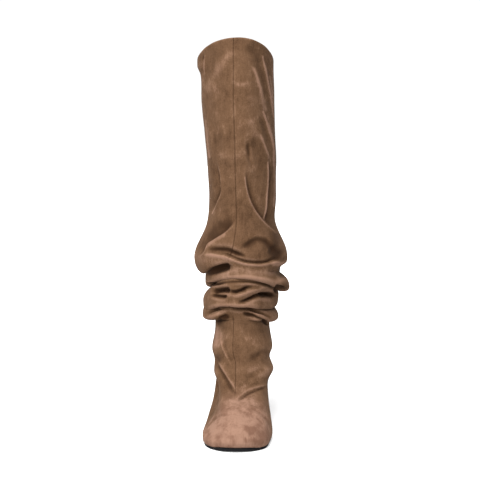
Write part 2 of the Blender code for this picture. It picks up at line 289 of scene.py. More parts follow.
SHAFT_CREASES = (
    Crease(((7, 338), (8, 320), (12, 302), (20, 285), (31, 271), (40, 262), (46, 256)),
           -4.6, 9.0, 1.6, 4.0),
    trough(((20, 345), (22, 322), (25, 304), (30, 286)), 2.6, 8.0),
    Crease(((36, 358), (37, 330), (36, 305), (35, 285), (34, 268)), -3.4, 6.0, 1.4, 2.0),
    ridge(((14, 470), (21, 455), (26, 438), (30, 416)), 0.7, 2.6),
    trough(((23, 470), (28, 448), (32, 418)), 1.1, 3.0),
    ridge(((28, 484), (32, 460), (35, 442), (39, 420), (42, 398)), 1.5, 1.8),
    ridge(((28, 412), (34, 394), (38, 380), (42, 360), (43, 336)), 1.5, 1.8),
    trough(((24, 404), (31, 388), (36, 364)), 1.2, 3.0),
    ridge(((24, 384), (31, 366), (38, 346)), 0.9, 2.0),
    trough(((9, 374), (11, 354), (18, 334)), 2.0, 3.0),
    trough(((16, 378), (22, 356), (26, 330)), 2.4, 8.0),
    trough(((8, 492), (21, 480), (28, 460)), 1.6, 9.0),
    ridge(((-6, 490), (-23, 466), (-38, 428)), 0.9, 8.0),
    trough(((-22, 492), (-38, 466), (-44, 440)), 1.4, 8.0),
    Crease(((-31, 350), (-26, 326), (-25, 310), (-30, 295), (-38, 276)), 2.0, 5.0, -4.0, 6.0),
    ridge(((-34, 354), (-10, 350), (14, 354)), 0.5, 6.0),
    trough(((-34, 384), (-28, 360), (-30, 336)), 0.9, 7.0),
    ridge(((-40, 400), (-38, 372), (-35, 342)), 1.1, 3.0),
    Crease(((-45, 482), (-46.5, 466), (-46, 448)), 1.6, 2.2, -3.0, 2.4),
)

FOOT_CREASES = (
    Crease(((-26, 124), (-23, 110), (-17, 96), (-11, 85)), -1.2, 4.5, 1.0, 2.0),
    Crease(((-33, 95), (-26, 82), (-18, 69), (-10, 56), (-2, 44)), 1.3, 3.2, -2.3, 6.5),
    Crease(((-9, 35), (2, 43), (12, 50), (24, 54), (37, 58)), 1.7, 6.0, -2.4, 3.0),
    trough(((7, 64), (14, 71), (24, 77), (35, 81)), 1.2, 3.6),
    trough(((6, 135), (6, 110)), 0.8, 4.5),
    trough(((39, 105), (28, 101), (18, 94), (6, 86)), 1.2, 3.6),
    trough(((-33, 97), (-25, 86)), 1.4, 2.6),
    Crease(((-42, 2), (-32, 15), (-22, 19), (-9, 21), (4, 19)), 0.6, 3.4, -0.9, 2.2),
    Crease(((4, 30), (20, 26), (33, 16), (39, 6)), 0.7, 3.0, -0.9, 2.2),
    Crease(((-2, 26), (14, 21), (27, 12), (33, 3)), 0.4, 2.4, -0.6, 2.0),
    ridge(((-30, 4), (-14, 12), (2, 13)), 0.5, 4.0),
    trough(((10, 6), (14, -4), (12, -12)), 0.5, 3.0),
)

# Creases of the sides and the back on the unrolled cloth: degrees from the front over the outer
# side, and millimetres of height before the cloth slouched
WRAP_CREASES = (
    ridge(((96, 452), (104, 395), (112, 330)), 1.6, 6.0),
    trough(((122, 470), (130, 410), (128, 350)), 1.8, 8.0),
    ridge(((150, 420), (158, 360), (150, 300)), 1.4, 7.0),
    trough(((178, 430), (186, 370), (196, 310)), 1.4, 9.0),
    ridge(((214, 440), (222, 380), (214, 320)), 1.6, 7.0),
    trough(((240, 452), (248, 400), (244, 340)), 1.8, 8.0),
    Crease(((98, 300), (130, 262), (168, 246)), 1.6, 7.0, -2.0, 7.0),
    Crease(((262, 300), (236, 268), (196, 252)), -1.8, 7.0, 1.6, 7.0),
    trough(((100, 213), (140, 206), (178, 214)), 3.0, 3.4),
    trough(((196, 204), (228, 214), (262, 206)), 3.0, 3.4),
    trough(((96, 178), (128, 186), (160, 180)), 3.0, 3.0),
    trough(((172, 166), (206, 172), (250, 164)), 3.0, 3.0),
    trough(((104, 140), (136, 132), (170, 140)), 2.6, 3.0),
    trough(((200, 146), (232, 136), (262, 142)), 2.6, 3.0),
    Crease(((98, 70), (112, 86), (134, 108)), 1.4, 5.0, -1.8, 5.0),
    Crease(((262, 70), (248, 86), (226, 108)), -1.8, 5.0, 1.4, 5.0),
    trough(((112, 112), (142, 118), (172, 114)), 1.6, 4.5),
    trough(((248, 112), (218, 118), (188, 114)), 1.6, 4.5),
)
WRAP_MM_PER_DEGREE = 0.90
WRAP_GAIN = 1.6

# Drawing of a line: softest edge in millimetres, reach of its bell, steps between two points, and
# the shares of its length over which it fades at both ends, or grows and then stops
CREASE_EDGE = 1.3
EDGE_SHARE = 0.45
BELL_REACH = 2.6
LINE_STEPS = 7
FADE_SHARE = 0.32
FADE_START = 0.03
GROWTH_SHARE = 0.75
GROWTH_STOP = (1.03, 0.97)

# Ear of the collar: angle, height and swell in shares as above, then its reaches
EAR_ANGLE = 1.75
EAR_HEIGHT = 0.935
EAR_SWELL = 0.050
EAR_TURN = 0.55
EAR_ABOVE = 0.050
EAR_BELOW = 0.016

# Strokes on the front, on the same plane as its creases: streaks of the nap, painted shade in
# pockets and under the lips, and painted highlights and sheen on ridges and edges
NAP_AND_LIGHT_STROKES = (
    Stroke(((18, 487), (25, 474)), -0.32, 8.0),
    Stroke(((29, 478), (32, 460), (35, 442), (39, 420), (42, 402)), 1.05, 1.1),
    Stroke(((37, 454), (40, 434), (43, 414)), 0.90, 0.9),
    Stroke(((40.5, 462), (41.8, 438), (42.4, 404)), 0.90, 1.4),
    Stroke(((18, 463), (25, 437), (30, 412)), 0.36, 2.0),
    Stroke(((28, 440), (31, 420), (35, 402), (38, 384)), 0.35, 2.6),
    Stroke(((36, 392), (40, 370), (43, 350)), 0.30, 3.0),
    Stroke(((-44, 398), (-42, 372), (-39, 352)), 0.70, 1.6),
    Stroke(((43, 350), (44.4, 330), (44.6, 312), (43.6, 290)), 1.20, 1.2),
    Stroke(((15, 465), (21, 452), (26, 438)), 0.34, 1.8),
    Stroke(((29, 409), (34, 394), (38, 380), (42, 360), (43, 342)), 1.05, 1.1),
    Stroke(((26, 378), (31, 366), (36, 354), (40, 342)), 0.55, 1.5),
    Stroke(((27, 462), (31, 440), (35, 420)), -0.35, 2.4),
    Stroke(((31, 400), (36, 382), (39, 362)), -0.30, 2.2),
    Stroke(((36, 476), (38, 456)), -0.30, 1.6),
    Stroke(((-8, 446), (0, 443), (7, 445)), 0.36, 3.2),
    Stroke(((6, 443), (16, 446)), 0.25, 3.0),
    Stroke(((-14, 482), (-22, 469), (-32, 456)), 0.42, 6.0),
    Stroke(((-39, 446), (-37, 430)), 0.26, 6.0),
    Stroke(((-46.6, 473), (-46.8, 456)), 2.20, 1.1),
    Stroke(((12, 426), (26, 422)), 0.25, 3.2),
    Stroke(((12, 424), (14, 388)), 0.16, 13.0),
    Stroke(((14, 395), (20, 383)), 0.32, 4.0),
    Stroke(((10, 368), (12, 355)), -0.60, 2.2),
    Stroke(((14, 376), (26, 370)), -0.25, 5.0),
    Stroke(((22, 364), (27, 350), (28, 330)), -0.25, 6.0),
    Stroke(((-28, 378), (-10, 374)), -0.18, 6.0),
    Stroke(((-27, 356), (-12, 354)), 0.28, 4.0),
    Stroke(((-4, 355), (5, 357)), 0.42, 3.5),
    Stroke(((-41, 386), (-39, 352)), 0.35, 2.4),
    Stroke(((-27, 316), (-25, 309), (-29, 298), (-36, 281)), 1.10, 1.2),
    Stroke(((-40, 320), (-37, 300)), -0.22, 4.0),
    Stroke(((6, 326), (10, 308), (16, 294), (23, 282), (30, 273), (38, 266), (46, 256)), 0.60, 1.3),
    Stroke(((20, 318), (26, 300), (32, 284)), 0.18, 5.0),
    Stroke(((-20, 308), (-14, 276)), -0.32, 12.0),
    Stroke(((2, 290), (6, 262)), -0.28, 8.0),
    Stroke(((-8, 250), (6, 242)), -0.24, 9.0),
    Stroke(((10, 240), (30, 230)), -0.30, 9.0),
    Stroke(((-50, 220), (-36, 222), (-22, 219)), 0.28, 5.0),
    Stroke(((35.5, 346), (35.6, 321), (34.4, 298), (33, 275)), 1.05, 1.0),
    Stroke(((40, 342), (40.5, 310), (38, 278)), -0.35, 3.0),
    Stroke(((33, 274), (36, 269), (42, 261)), 0.70, 1.2),
    Stroke(((-54, 238), (-46, 250), (-29, 265), (-15, 272)), -0.38, 6.0),
    Stroke(((-44, 236), (-36, 243), (-27, 248), (-19, 253)), 0.45, 1.5),
    Stroke(((-38, 235), (-20, 234), (-8, 231), (6, 226)), -0.70, 2.4),
    Stroke(((4, 240), (14, 247), (24, 250), (33, 247)), -0.40, 3.5),
    Stroke(((46, 252), (43, 238), (50, 226)), -1.40, 9.0),
    Stroke(((20, 226), (38, 224)), -0.35, 4.0),
    Stroke(((-44, 228), (-26, 225), (-12, 221)), 0.45, 2.4),
    Stroke(((-10, 208), (12, 206), (36, 204)), 0.52, 9.0),
    Stroke(((43, 217), (55, 216)), 1.30, 3.4),
    Stroke(((60, 190), (52, 180)), -1.40, 5.5),
    Stroke(((-39, 204), (-30, 208), (-20, 211)), -2.40, 3.8),
    Stroke(((-40, 189), (-26, 191), (-10, 192.5), (7, 193), (20, 192), (33, 189), (42, 185)),
           -1.3, 1.1),
    Stroke(((-12, 186), (20, 185)), -0.25, 3.0),
    Stroke(((-32, 181), (-17, 182)), -1.70, 3.0),
    Stroke(((-10, 181), (6, 182)), -0.90, 2.4),
    Stroke(((0, 167), (18, 172), (36, 176)), -0.90, 1.8),
    Stroke(((28, 176), (42, 176)), -1.60, 2.4),
    Stroke(((-35, 175), (-20, 173)), -1.20, 2.0),
    Stroke(((42, 171), (46, 164)), -0.35, 4.0),
    Stroke(((6, 152), (20, 148), (33, 141)), -0.60, 2.4),
    Stroke(((-28, 144), (-17, 147)), -2.00, 3.0),
    Stroke(((-30, 131), (-31, 112)), 0.85, 6.5),
    Stroke(((-26, 140), (-20, 134)), -0.40, 4.0),
    Stroke(((-25, 126), (-22, 109), (-17, 95)), 0.36, 1.8),
    Stroke(((-31, 104), (-27, 92)), -0.25, 5.0),
    Stroke(((4, 138), (10, 130)), -0.35, 5.0),
    Stroke(((24, 132), (32, 124)), -0.30, 5.0),
    Stroke(((10, 124), (20, 118)), 0.20, 7.0),
    Stroke(((8, 104), (30, 96)), -0.15, 7.0),
    Stroke(((20, 66), (34, 70)), 0.30, 5.0),
    Stroke(((6, 58), (13, 62)), 0.22, 4.0),
    Stroke(((-24, 88), (-14, 70), (-6, 54)), 0.24, 2.4),
    Stroke(((-28, 82), (-18, 63), (-10, 50)), -0.35, 2.6),
    Stroke(((0, 40), (8, 45), (16, 49)), -0.40, 2.2),
    Stroke(((-27, 70), (-24, 58)), -0.35, 5.0),
    Stroke(((-16, 34), (0, 36), (16, 38)), 0.30, 6.0),
    Stroke(((-43, 3), (-31, 15), (-20, 19), (-6, 20)), -0.35, 1.3),
    Stroke(((-38, 0), (-24, 12), (-8, 15)), 0.22, 3.0),
    Stroke(((6, 29), (21, 25), (33, 15), (38, 8)), -0.35, 1.4),
    Stroke(((2, 24), (16, 19), (28, 9)), -0.28, 1.2),
    Stroke(((-28, 26), (-10, 28)), -0.20, 1.6),
    Stroke(((-13, 3), (3, -2)), 0.45, 7.0),
    Stroke(((-38, 6), (-34, -4)), 0.85, 6.0),
    Stroke(((-18, 0), (18, 0)), -0.22, 9.0),
    Stroke(((8, 3), (13, -5)), -0.75, 3.4),
    Stroke(((20, 1), (30, -8)), -1.00, 6.0),
    Stroke(((16, -6), (18, -14)), -0.35, 2.6),
    Stroke(((-10, -9), (-8, -16)), -0.80, 3.0),
    Stroke(((-30, -8), (-28, -15)), -0.60, 4.0),
    Stroke(((-40, -4), (-37, -13)), -0.35, 3.0),
    Stroke(((8, -14), (24, -16), (38, -12)), -0.95, 3.6),
    Stroke(((36, 2), (39, -8)), -0.30, 3.0),
)

# Front seam: height and place across, in millimetres on the same plane as the creases
SEAM_PATH = (
    (10, -2.0), (32, -2.8), (66, -2.3), (91, -3.4), (105, -7.0), (139, -7.5), (165, -9.5),
    (195, -11.7), (217, -11.0), (245, -5.0), (271, -3.1), (308, -4.3), (370, -5.5), (432, -6.8),
    (500, -6.4),
)


def through(stations: Sequence[float], values: Sequence[float], at: Any) -> np.ndarray:
    """Work out a smooth curve through values at stations, without overshoot.

    Between stations the curve is a cubic whose end slopes are harmonic means of the slopes of the
    neighbouring spans, or level where the values turn.

    Args:
        stations: Rising places.
        values: Value at each place.
        at: Places asked for.

    Returns:
        The values there.
    """
    place = np.asarray(stations, float)
    value = np.asarray(values, float)
    step = np.diff(place)
    slope = np.diff(value) / step
    tangent = np.concatenate((slope[:1], np.zeros(len(value) - 2), slope[-1:]))
    rising = slope[:-1] * slope[1:] > 0
    total = np.where(rising, slope[:-1] + slope[1:], 1)
    tangent[1:-1] = np.where(rising, 2 * slope[:-1] * slope[1:] / total, 0)
    span = np.clip(np.searchsorted(place, at, side="right") - 1, 0, len(step) - 1)
    t = np.clip((at - place[span]) / step[span], 0, 1)
    start = value[span] + t * t * (3 - 2 * t) * (value[span + 1] - value[span])
    bend = tangent[span] * t * (1 - t) ** 2 - tangent[span + 1] * t * t * (1 - t)
    return start + bend * step[span]


def column(rows: Sequence[Any], name: str) -> list[float]:
    """One named column of a table."""
    return [getattr(row, name) for row in rows]


def smoothstep(low: float, high: float, value: np.ndarray) -> np.ndarray:
    """Smooth step from 0 at low to 1 at high."""
    t = np.clip((value - low) / (high - low), 0, 1)
    return t * t * (3 - 2 * t)


def round_the_leg(quarters: Quarters, angle: np.ndarray) -> np.ndarray:
    """Smooth value round the boot through the four given at the quarters.

    Args:
        quarters: Values at the front, outer side, back and inner side.
        angle: Angles from the front over the outer side.

    Returns:
        The value at each angle, a mean with one cosine, one sine and one double cosine.
    """
    front, outer, back, inner = quarters
    mean = (front + outer + back + inner) / 4
    turn = (front - back) / 2 * np.cos(angle) + (outer - inner) / 2 * np.sin(angle)
    return mean + turn + (front - outer + back - inner) / 4 * np.cos(2 * angle)


def front_window(angle: np.ndarray, limits: Point2) -> np.ndarray:
    """Window at the front: 1 within half its limits, with a smooth step to 0 at them.

    Args:
        angle: Angles from the front over the outer side.
        limits: Angles to the outer and to the inner side, or zeros for no window.

    Returns:
        The window at each angle.
    """
    if not any(limits):
        return np.zeros(angle.shape)
    turn = np.mod(angle + math.pi, TAU) - math.pi
    share = np.where(turn > 0, turn / limits[0], -turn / limits[1])
    return smoothstep(1.0, 0.5, share)


def turn_towards(place: Point3, target: Point3) -> Point3:
    """Turn that makes a camera or a lamp at a place look at a target, without roll."""
    way = np.array(target) - np.array(place)
    climb = math.atan2(way[2], math.hypot(way[0], way[1]))
    return math.pi / 2 + climb, 0.0, math.atan2(-way[0], way[1])


def add_object(name: str, data: Any) -> bpy.types.Object:
    """Put a new object with the given data into the scene."""
    made = bpy.data.objects.new(name, data)
    bpy.context.scene.collection.objects.link(made)
    return made


def unit(vectors: np.ndarray) -> np.ndarray:
    """Vectors of length one."""
    return vectors / np.maximum(np.linalg.norm(vectors, axis=-1, keepdims=True), TINY)


def beside(grid: np.ndarray, axis: int = 1) -> tuple[np.ndarray, np.ndarray]:
    """Values before and after every place of a closed row."""
    return np.roll(grid, 1, axis=axis), np.roll(grid, -1, axis=axis)


def over_and_under(grid: np.ndarray) -> tuple[np.ndarray, np.ndarray]:
    """Values above and below every place, with the end rows standing for their neighbours."""
    return np.concatenate((grid[1:], grid[-1:])), np.concatenate((grid[:1], grid[:-1]))


def outward_of(skin: np.ndarray) -> np.ndarray:
    """Outward normals of a skin whose rows rise and whose columns turn over the outer side."""
    before, after = beside(skin)
    return unit(np.cross(np.gradient(skin, axis=0), after - before))


def blurred(grid: np.ndarray, times: int) -> np.ndarray:
    """Smooth a grid round its columns and over its rows, by weights of one, two and one.

    Args:
        grid: Values or points, one per row and column.
        times: How often it is smoothed.

    Returns:
        The smoothed grid.
    """
    out = grid.copy()
    for _ in range(times):
        for neighbours in (beside, over_and_under):
            first, second = neighbours(out)
            out = (first + 2 * out + second) / 4
    return out


LOWEST_BLUR = 3


def lowest_near(grid: np.ndarray, rows: int, columns: int) -> np.ndarray:
    """Find the lowest value near every place of a grid, smoothed a little.

    Args:
        grid: Values, one per row and column.
        rows: How many rows up and down are searched.
        columns: How many columns to either side are searched.

    Returns:
        The lowest values.
    """
    low = grid.copy()
    for neighbours, times in ((beside, columns), (over_and_under, rows)):
        for _ in range(times):
            low = np.minimum(low, np.minimum(*neighbours(low)))
    return blurred(low, LOWEST_BLUR)


def near_line(points: Sequence[Point2], reach: float, across: np.ndarray,
              height: np.ndarray) -> tuple[np.ndarray, np.ndarray, np.ndarray]:
    """Find the places near a smooth line through some points.

    Args:
        points: Points of the line, in millimetres.
        reach: Distance up to which places count as near.
        across: Place across, in millimetres.
        height: Place up, in millimetres.

    Returns:
        Mask of the near places, their signed distance, positive on the left, and the share of the
        line that they are at.
    """
    marks = np.arange(len(points))
    fine = np.linspace(0, len(points) - 1, LINE_STEPS * (len(points) - 1) + 1)
    line = np.stack([through(marks, [p[k] for p in points], fine) for k in (0, 1)], axis=1)
    low, high = line.min(axis=0) - reach, line.max(axis=0) + reach
    near = (across > low[0]) & (across < high[0]) & (height > low[1]) & (height < high[1])
    place = np.stack((across[near], height[near]), axis=1)
    start, run = line[:-1], np.diff(line, axis=0)
    rel = place[:, None] - start[None]
    t = np.clip((rel * run).sum(axis=2) / (run ** 2).sum(axis=1), 0, 1)
    off = rel - t[..., None] * run
    gap = np.hypot(off[..., 0], off[..., 1])
    best = gap.argmin(axis=1)
    pick = np.arange(len(best))
    cross = run[best, 0] * rel[pick, best, 1] - run[best, 1] * rel[pick, best, 0]
    return near, np.sign(cross) * gap[pick, best], (best + t[pick, best]) / len(run)


def crease_lift(crease: Crease, across: np.ndarray, height: np.ndarray) -> np.ndarray:
    """Lift of one crease, in millimetres, at places on its plane.

    On each side of the line the lift is the side's own times a bell of the distance over the
    reach. The sides change over smoothly near the line, and both fade towards its ends.

    Args:
        crease: The line with its lifts and reaches.
        across: Place across, in millimetres.
        height: Place up, in millimetres.

    Returns:
        The lift at each place.
    """
    lift = np.zeros(across.shape)
    reach = max(crease.left_reach, crease.right_reach) * BELL_REACH
    near, gap, along = near_line(crease.points, reach, across, height)
    if not near.any():
        return lift
    fade = smoothstep(0, FADE_SHARE, np.minimum(along, 1 - along) + FADE_START)
    if crease.grows:
        fade = smoothstep(0, GROWTH_SHARE, along) * smoothstep(*GROWTH_STOP, along)
    left = crease.left * np.exp(-(gap / crease.left_reach) ** 2)
    right = crease.right * np.exp(-(gap / crease.right_reach) ** 2)
    soft = max(CREASE_EDGE, EDGE_SHARE * min(crease.left_reach, crease.right_reach))
    lift[near] = (right + (left - right) * smoothstep(-soft, soft, gap)) * fade
    return lift


def stroke_tone(stroke: Stroke, across: np.ndarray, height: np.ndarray) -> np.ndarray:
    """Tone of one stroke, of the nap or of painted light and shade: a bell of the distance from its
    line over its reach.

    Args:
        stroke: The line with its tone and reach.
        across: Place across, in millimetres.
        height: Place up, in millimetres.

    Returns:
        The tone at each place.
    """
    tone = np.zeros(across.shape)
    near, gap, _ = near_line(stroke.points, stroke.reach * BELL_REACH, across, height)
    tone[near] = stroke.tone * np.exp(-(gap / stroke.reach) ** 2)
    return tone


@dataclass(frozen=True)
class Eye:
    """Where the boot is seen from, and the upright plane on which its creases are drawn."""

    place: Point3 = (0.0881, -1.6786, 0.436)
    plane_y: float = -0.0056
    target: Point3 = (0.0, -0.01, 0.247)
    lens: float = 99.3
    sensor: float = 36.0
    rim: Point2 = (-0.05, 0.30)

    def seen(self, points: np.ndarray) -> tuple[np.ndarray, np.ndarray]:
        """Work out where the sight lines of points meet the plane.

        Args:
            points: Points of a skin.

        Returns:
            Places across and up, in millimetres.
        """
        x, y, z = self.place
        near = (self.plane_y - y) / (points[..., 1] - y)
        across = x + (points[..., 0] - x) * near
        height = z + (points[..., 2] - z) * near
        return across / MM, height / MM

    def facing(self, points: np.ndarray, outward: np.ndarray) -> np.ndarray:
        """How far a skin faces the eye, from 0 at its rim to 1, by the cosine between them."""
        towards = unit(np.array(self.place) - points)
        return smoothstep(*self.rim, (towards * outward).sum(axis=-1))

    def make_camera(self) -> bpy.types.Object:
        """Camera at the eye, aimed at the middle of the boot."""
        data = bpy.data.cameras.new("view")
        data.lens = self.lens
        data.sensor_width = self.sensor
        camera = add_object("view", data)
        camera.location = self.place
        camera.rotation_euler = turn_towards(self.place, self.target)
        bpy.context.scene.camera = camera
        return camera


@dataclass(frozen=True)
class BootForm:
    """Shape that all pieces share: the foot's outline, the sole line and the upper's levels."""

    boot_height: float = 0.500
    foot_length: float = 0.232
    ball_width: float = 0.088
    heel_height: float = 0.080
    heel_seat_drop: float = 0.007
    toe_spring: float = 0.0018
    sole_thickness: float = 0.0042
    sole_gap: float = 0.0005
    feather_width: float = 0.98
    toe_flat: float = 0.11
    ball_flat: float = 0.31
    heel_breast: float = 0.80
    corner_inset: float = 0.0014
    corner_drop: float = 0.0012
    corner_reach: float = 0.0080
    corner_start: Point2 = (0.004, 0.05)
    corner_end: Point2 = (0.42, 0.20)
    shift_columns: int = 720

    def foot_y(self, along: Any) -> np.ndarray:
        """Place along the foot in metres."""
        return (np.asarray(along) - 0.5) * self.foot_length

    def feather(self, along: Any) -> np.ndarray:
        """Height of the upper's lower edge.

        Args:
            along: Shares along the foot from the toe.

        Returns:
            Toe spring, then the flat ball, a cubic for the shank and a straight heel seat.
        """
        s = np.asarray(along, float)
        flat = self.sole_thickness + self.sole_gap
        toe = flat + self.toe_spring * np.clip((self.toe_flat - s) / self.toe_flat, 0, None) ** 2
        seat_front = self.heel_height - self.heel_seat_drop
        slope = self.heel_seat_drop / (1 - self.heel_breast)
        run = self.heel_breast - self.ball_flat
        t = np.clip((s - self.ball_flat) / run, 0, 1)
        shank = flat + (seat_front - flat) * t * t * (3 - 2 * t) - slope * run * t * t * (1 - t)
        seat = seat_front + slope * (s - self.heel_breast)
        return np.where(s < self.ball_flat, toe, np.where(s < self.heel_breast, shank, seat))

    def tread_half(self, along: np.ndarray, angle: np.ndarray) -> np.ndarray:
        """Half width of the tread outline on the side of the angle."""
        outer = through(column(TREAD, "along"), column(TREAD, "outer"), along)
        inner = through(column(TREAD, "along"), column(TREAD, "inner"), along)
        return np.where(angle < math.pi, outer, inner) * self.ball_width

    def corner(self, angle: np.ndarray) -> np.ndarray:
        """Closeness to a toe corner, where the suede reaches down over the sole, which is inset."""
        share = (1 - np.cos(angle)) / 2
        return smoothstep(*self.corner_start, share) * smoothstep(*self.corner_end, share)

    def tread_ring(self, angle: np.ndarray, inset: Union[float, np.ndarray]) -> np.ndarray:
        """Outline of the foot's edge on the feather line.

        Args:
            angle: Angles of the ring's places, from the toe over the outer side.
            inset: Distance by which the outline is moved inwards.

        Returns:
            One point per angle.
        """
        along = (1 - np.cos(angle)) / 2
        half = self.tread_half(along, angle)
        outline = np.stack((-np.sin(angle) * half, self.foot_y(along)), axis=1) * self.feather_width
        before, after = beside(outline, axis=0)
        ahead = after - before
        inwards = unit(np.stack((ahead[:, 1], -ahead[:, 0]), axis=1))
        outline = outline + inwards * np.reshape(inset, (-1, 1))
        return np.column_stack((outline, self.feather(outline[:, 1] / self.foot_length + 0.5)))

    def placed_ring(self, angle: np.ndarray, inset: Union[float, np.ndarray]) -> np.ndarray:
        """Outline of the foot's edge at its place in the frame."""
        return self.tread_ring(angle, inset) + self.shift()

    def plain_upper(self, level: np.ndarray, angle: np.ndarray) -> np.ndarray:
        """Upper before it slouches.

        A level is a loop between its front and back points: along the foot it follows the cosine
        of the angle, across it the sine times the half width, which turns from the tread outline
        into an oval, and low levels sag to the sole line.

        Args:
            level: Level numbers, one per row.
            angle: Angles, one per row and column.

        Returns:
            Grid of points.
        """
        marks = np.arange(len(LEVELS))
        size = {field.name: through(marks, column(LEVELS, field.name), level)[:, None]
                for field in fields(Level)}
        share = (1 - np.cos(angle)) / 2 - size["blunt"] * np.sin(angle) ** 2
        along = size["front"] + (size["back"] - size["front"]) * share
        height = size["front_z"] + (size["back_z"] - size["front_z"]) * share
        first = LEVELS[0]
        straight = (first.front_z + (first.back_z - first.front_z) * share) * self.boot_height
        sag = (self.feather(share) - straight) * (1 - size["shaft"])
        tread = self.tread_half(share, angle) / self.ball_width * 2
        fullness = tread + (1 - tread) * size["shaft"]
        turn = np.mod(angle, TAU)
        side = np.where(turn < math.pi, size["outer"], size["inner"]) * self.ball_width
        across = -np.sin(angle) * side * fullness
        upright = height * self.boot_height + sag
        low = np.exp(-np.clip(upright - self.feather(share), 0, None) / self.corner_reach)
        upright = upright - self.corner_drop * self.corner(angle) ** 2 * low
        return np.stack((across, self.foot_y(along), upright), axis=2)

    def shift(self) -> np.ndarray:
        """Move from this form's own middle to the place of the frame's sole."""
        low, high = (np.array(corner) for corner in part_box("outsole"))
        ring = self.tread_ring(np.linspace(0, TAU, self.shift_columns + 1)[:-1], 0.0)
        middle = (ring.min(axis=0) + ring.max(axis=0)) / 2
        move = (low + high) / 2 - middle
        return np.array((move[0], move[1], 0.0))


# Shader graphs


Input = Union["Tone", float, Colour, tuple]


def operator(operation: str, swapped: bool = False) -> Callable[["Tone", Input], "Tone"]:
    """Make an operator of tones that adds a Math node.

    Args:
        operation: The node's operation.
        swapped: Whether the other operand comes first, as in the reflected form.

    Returns:
        The method.
    """

    def apply(tone: "Tone", other: Input) -> "Tone":
        """Value of the Math node."""
        first, second = (other, tone) if swapped else (tone, other)
        return tone.graph.node("ShaderNodeMath", {"operation": operation}, {0: first, 1: second})

    return apply


class Tone:
    """Output of a shader node that takes part in sums with the ordinary operators."""

    __add__, __radd__ = operator("ADD"), operator("ADD", swapped=True)
    __sub__, __rsub__ = operator("SUBTRACT"), operator("SUBTRACT", swapped=True)
    __mul__, __rmul__ = operator("MULTIPLY"), operator("MULTIPLY", swapped=True)

    def __init__(self, graph: "Graph", socket: bpy.types.NodeSocket) -> None:
        """Hold the socket of a graph."""
        self.graph = graph
        self.socket = socket

    def __neg__(self) -> "Tone":
        """Opposite value."""
        return self * -1.0

    def ramp(self, low: float, high: float) -> "Tone":
        """Smooth step from 0 at low to 1 at high."""
        settings = {"interpolation_type": "SMOOTHSTEP"}
        values = {"Value": self, "From Min": low, "From Max": high}
        return self.graph.node("ShaderNodeMapRange", settings, values)


class Graph:
    """Node tree of a new material, with one Principled shader."""

    def __init__(self, name: str) -> None:
        """Make the material."""
        self.material = bpy.data.materials.new(name)
        self.material.use_nodes = True
        self.tree = self.material.node_tree
        self.shader = self.tree.nodes["Principled BSDF"]

    def node(self, kind: str, settings: dict[str, Any], values: dict[Any, Input],
             output: Union[int, str] = 0) -> Tone:
        """Add a node.

        Args:
            kind: Blender's type name of the node.
            settings: Properties of the node by name.
            values: Values or tones for its inputs, by name or number.
            output: Output that is handed on, by name or number.

        Returns:
            The output as a tone.
        """
        made = self.tree.nodes.new(kind)
        for name, value in settings.items():
            setattr(made, name, value)
        for key, value in values.items():
            self.feed(made.inputs[key], value)
        return Tone(self, made.outputs[output])

    def feed(self, socket: bpy.types.NodeSocket, value: Input) -> None:
        """Link a tone to a socket, or set the socket's own value.

        Args:
            socket: Input of a node.
            value: Tone, number, vector or colour.
        """
        if isinstance(value, Tone):
            self.tree.links.new(value.socket, socket)
        elif isinstance(value, tuple) and socket.type == "RGBA":
            socket.default_value = (*value[:3], 1.0)
        else:
            socket.default_value = value

    def attribute(self, name: str, output: str = "Fac") -> Tone:
        """Value or vector that the mesh carries."""
        settings = {"attribute_type": "GEOMETRY", "attribute_name": name}
        return self.node("ShaderNodeAttribute", settings, {}, output)

    def place(self) -> Tone:
        """Place on the object, in metres."""
        return self.node("ShaderNodeTexCoord", {}, {}, "Object")

    def scaled(self, place: Tone, scale: Point3) -> Tone:
        """Place multiplied along each axis."""
        return self.node("ShaderNodeVectorMath", {"operation": "MULTIPLY"}, {0: place, 1: scale})

    def noise(self, place: Tone, scale: float, detail: float = 3.0, rough: float = 0.55) -> Tone:
        """Noise value around one half, with the given number of grains per metre."""
        values = {"Vector": place, "Scale": scale, "Detail": detail, "Roughness": rough}
        return self.node("ShaderNodeTexNoise", {}, values, "Fac")

    def mix(self, share: Input, first: Input, second: Input) -> Tone:
        """Colour between two colours."""
        settings = {"data_type": "RGBA"}
        return self.node("ShaderNodeMix", settings, {0: share, 6: first, 7: second}, 2)

    def bump(self, height: Tone, strength: float, distance: float) -> Tone:
        """Normal raised by a height."""
        values = {"Height": height, "Strength": strength, "Distance": distance}
        return self.node("ShaderNodeBump", {}, values)

    def surface(self, **values: Input) -> bpy.types.Material:
        """Set inputs of the shader and hand over the material."""
        for name, value in values.items():
            self.feed(self.shader.inputs[name.replace("_", " ")], value)
        return self.material


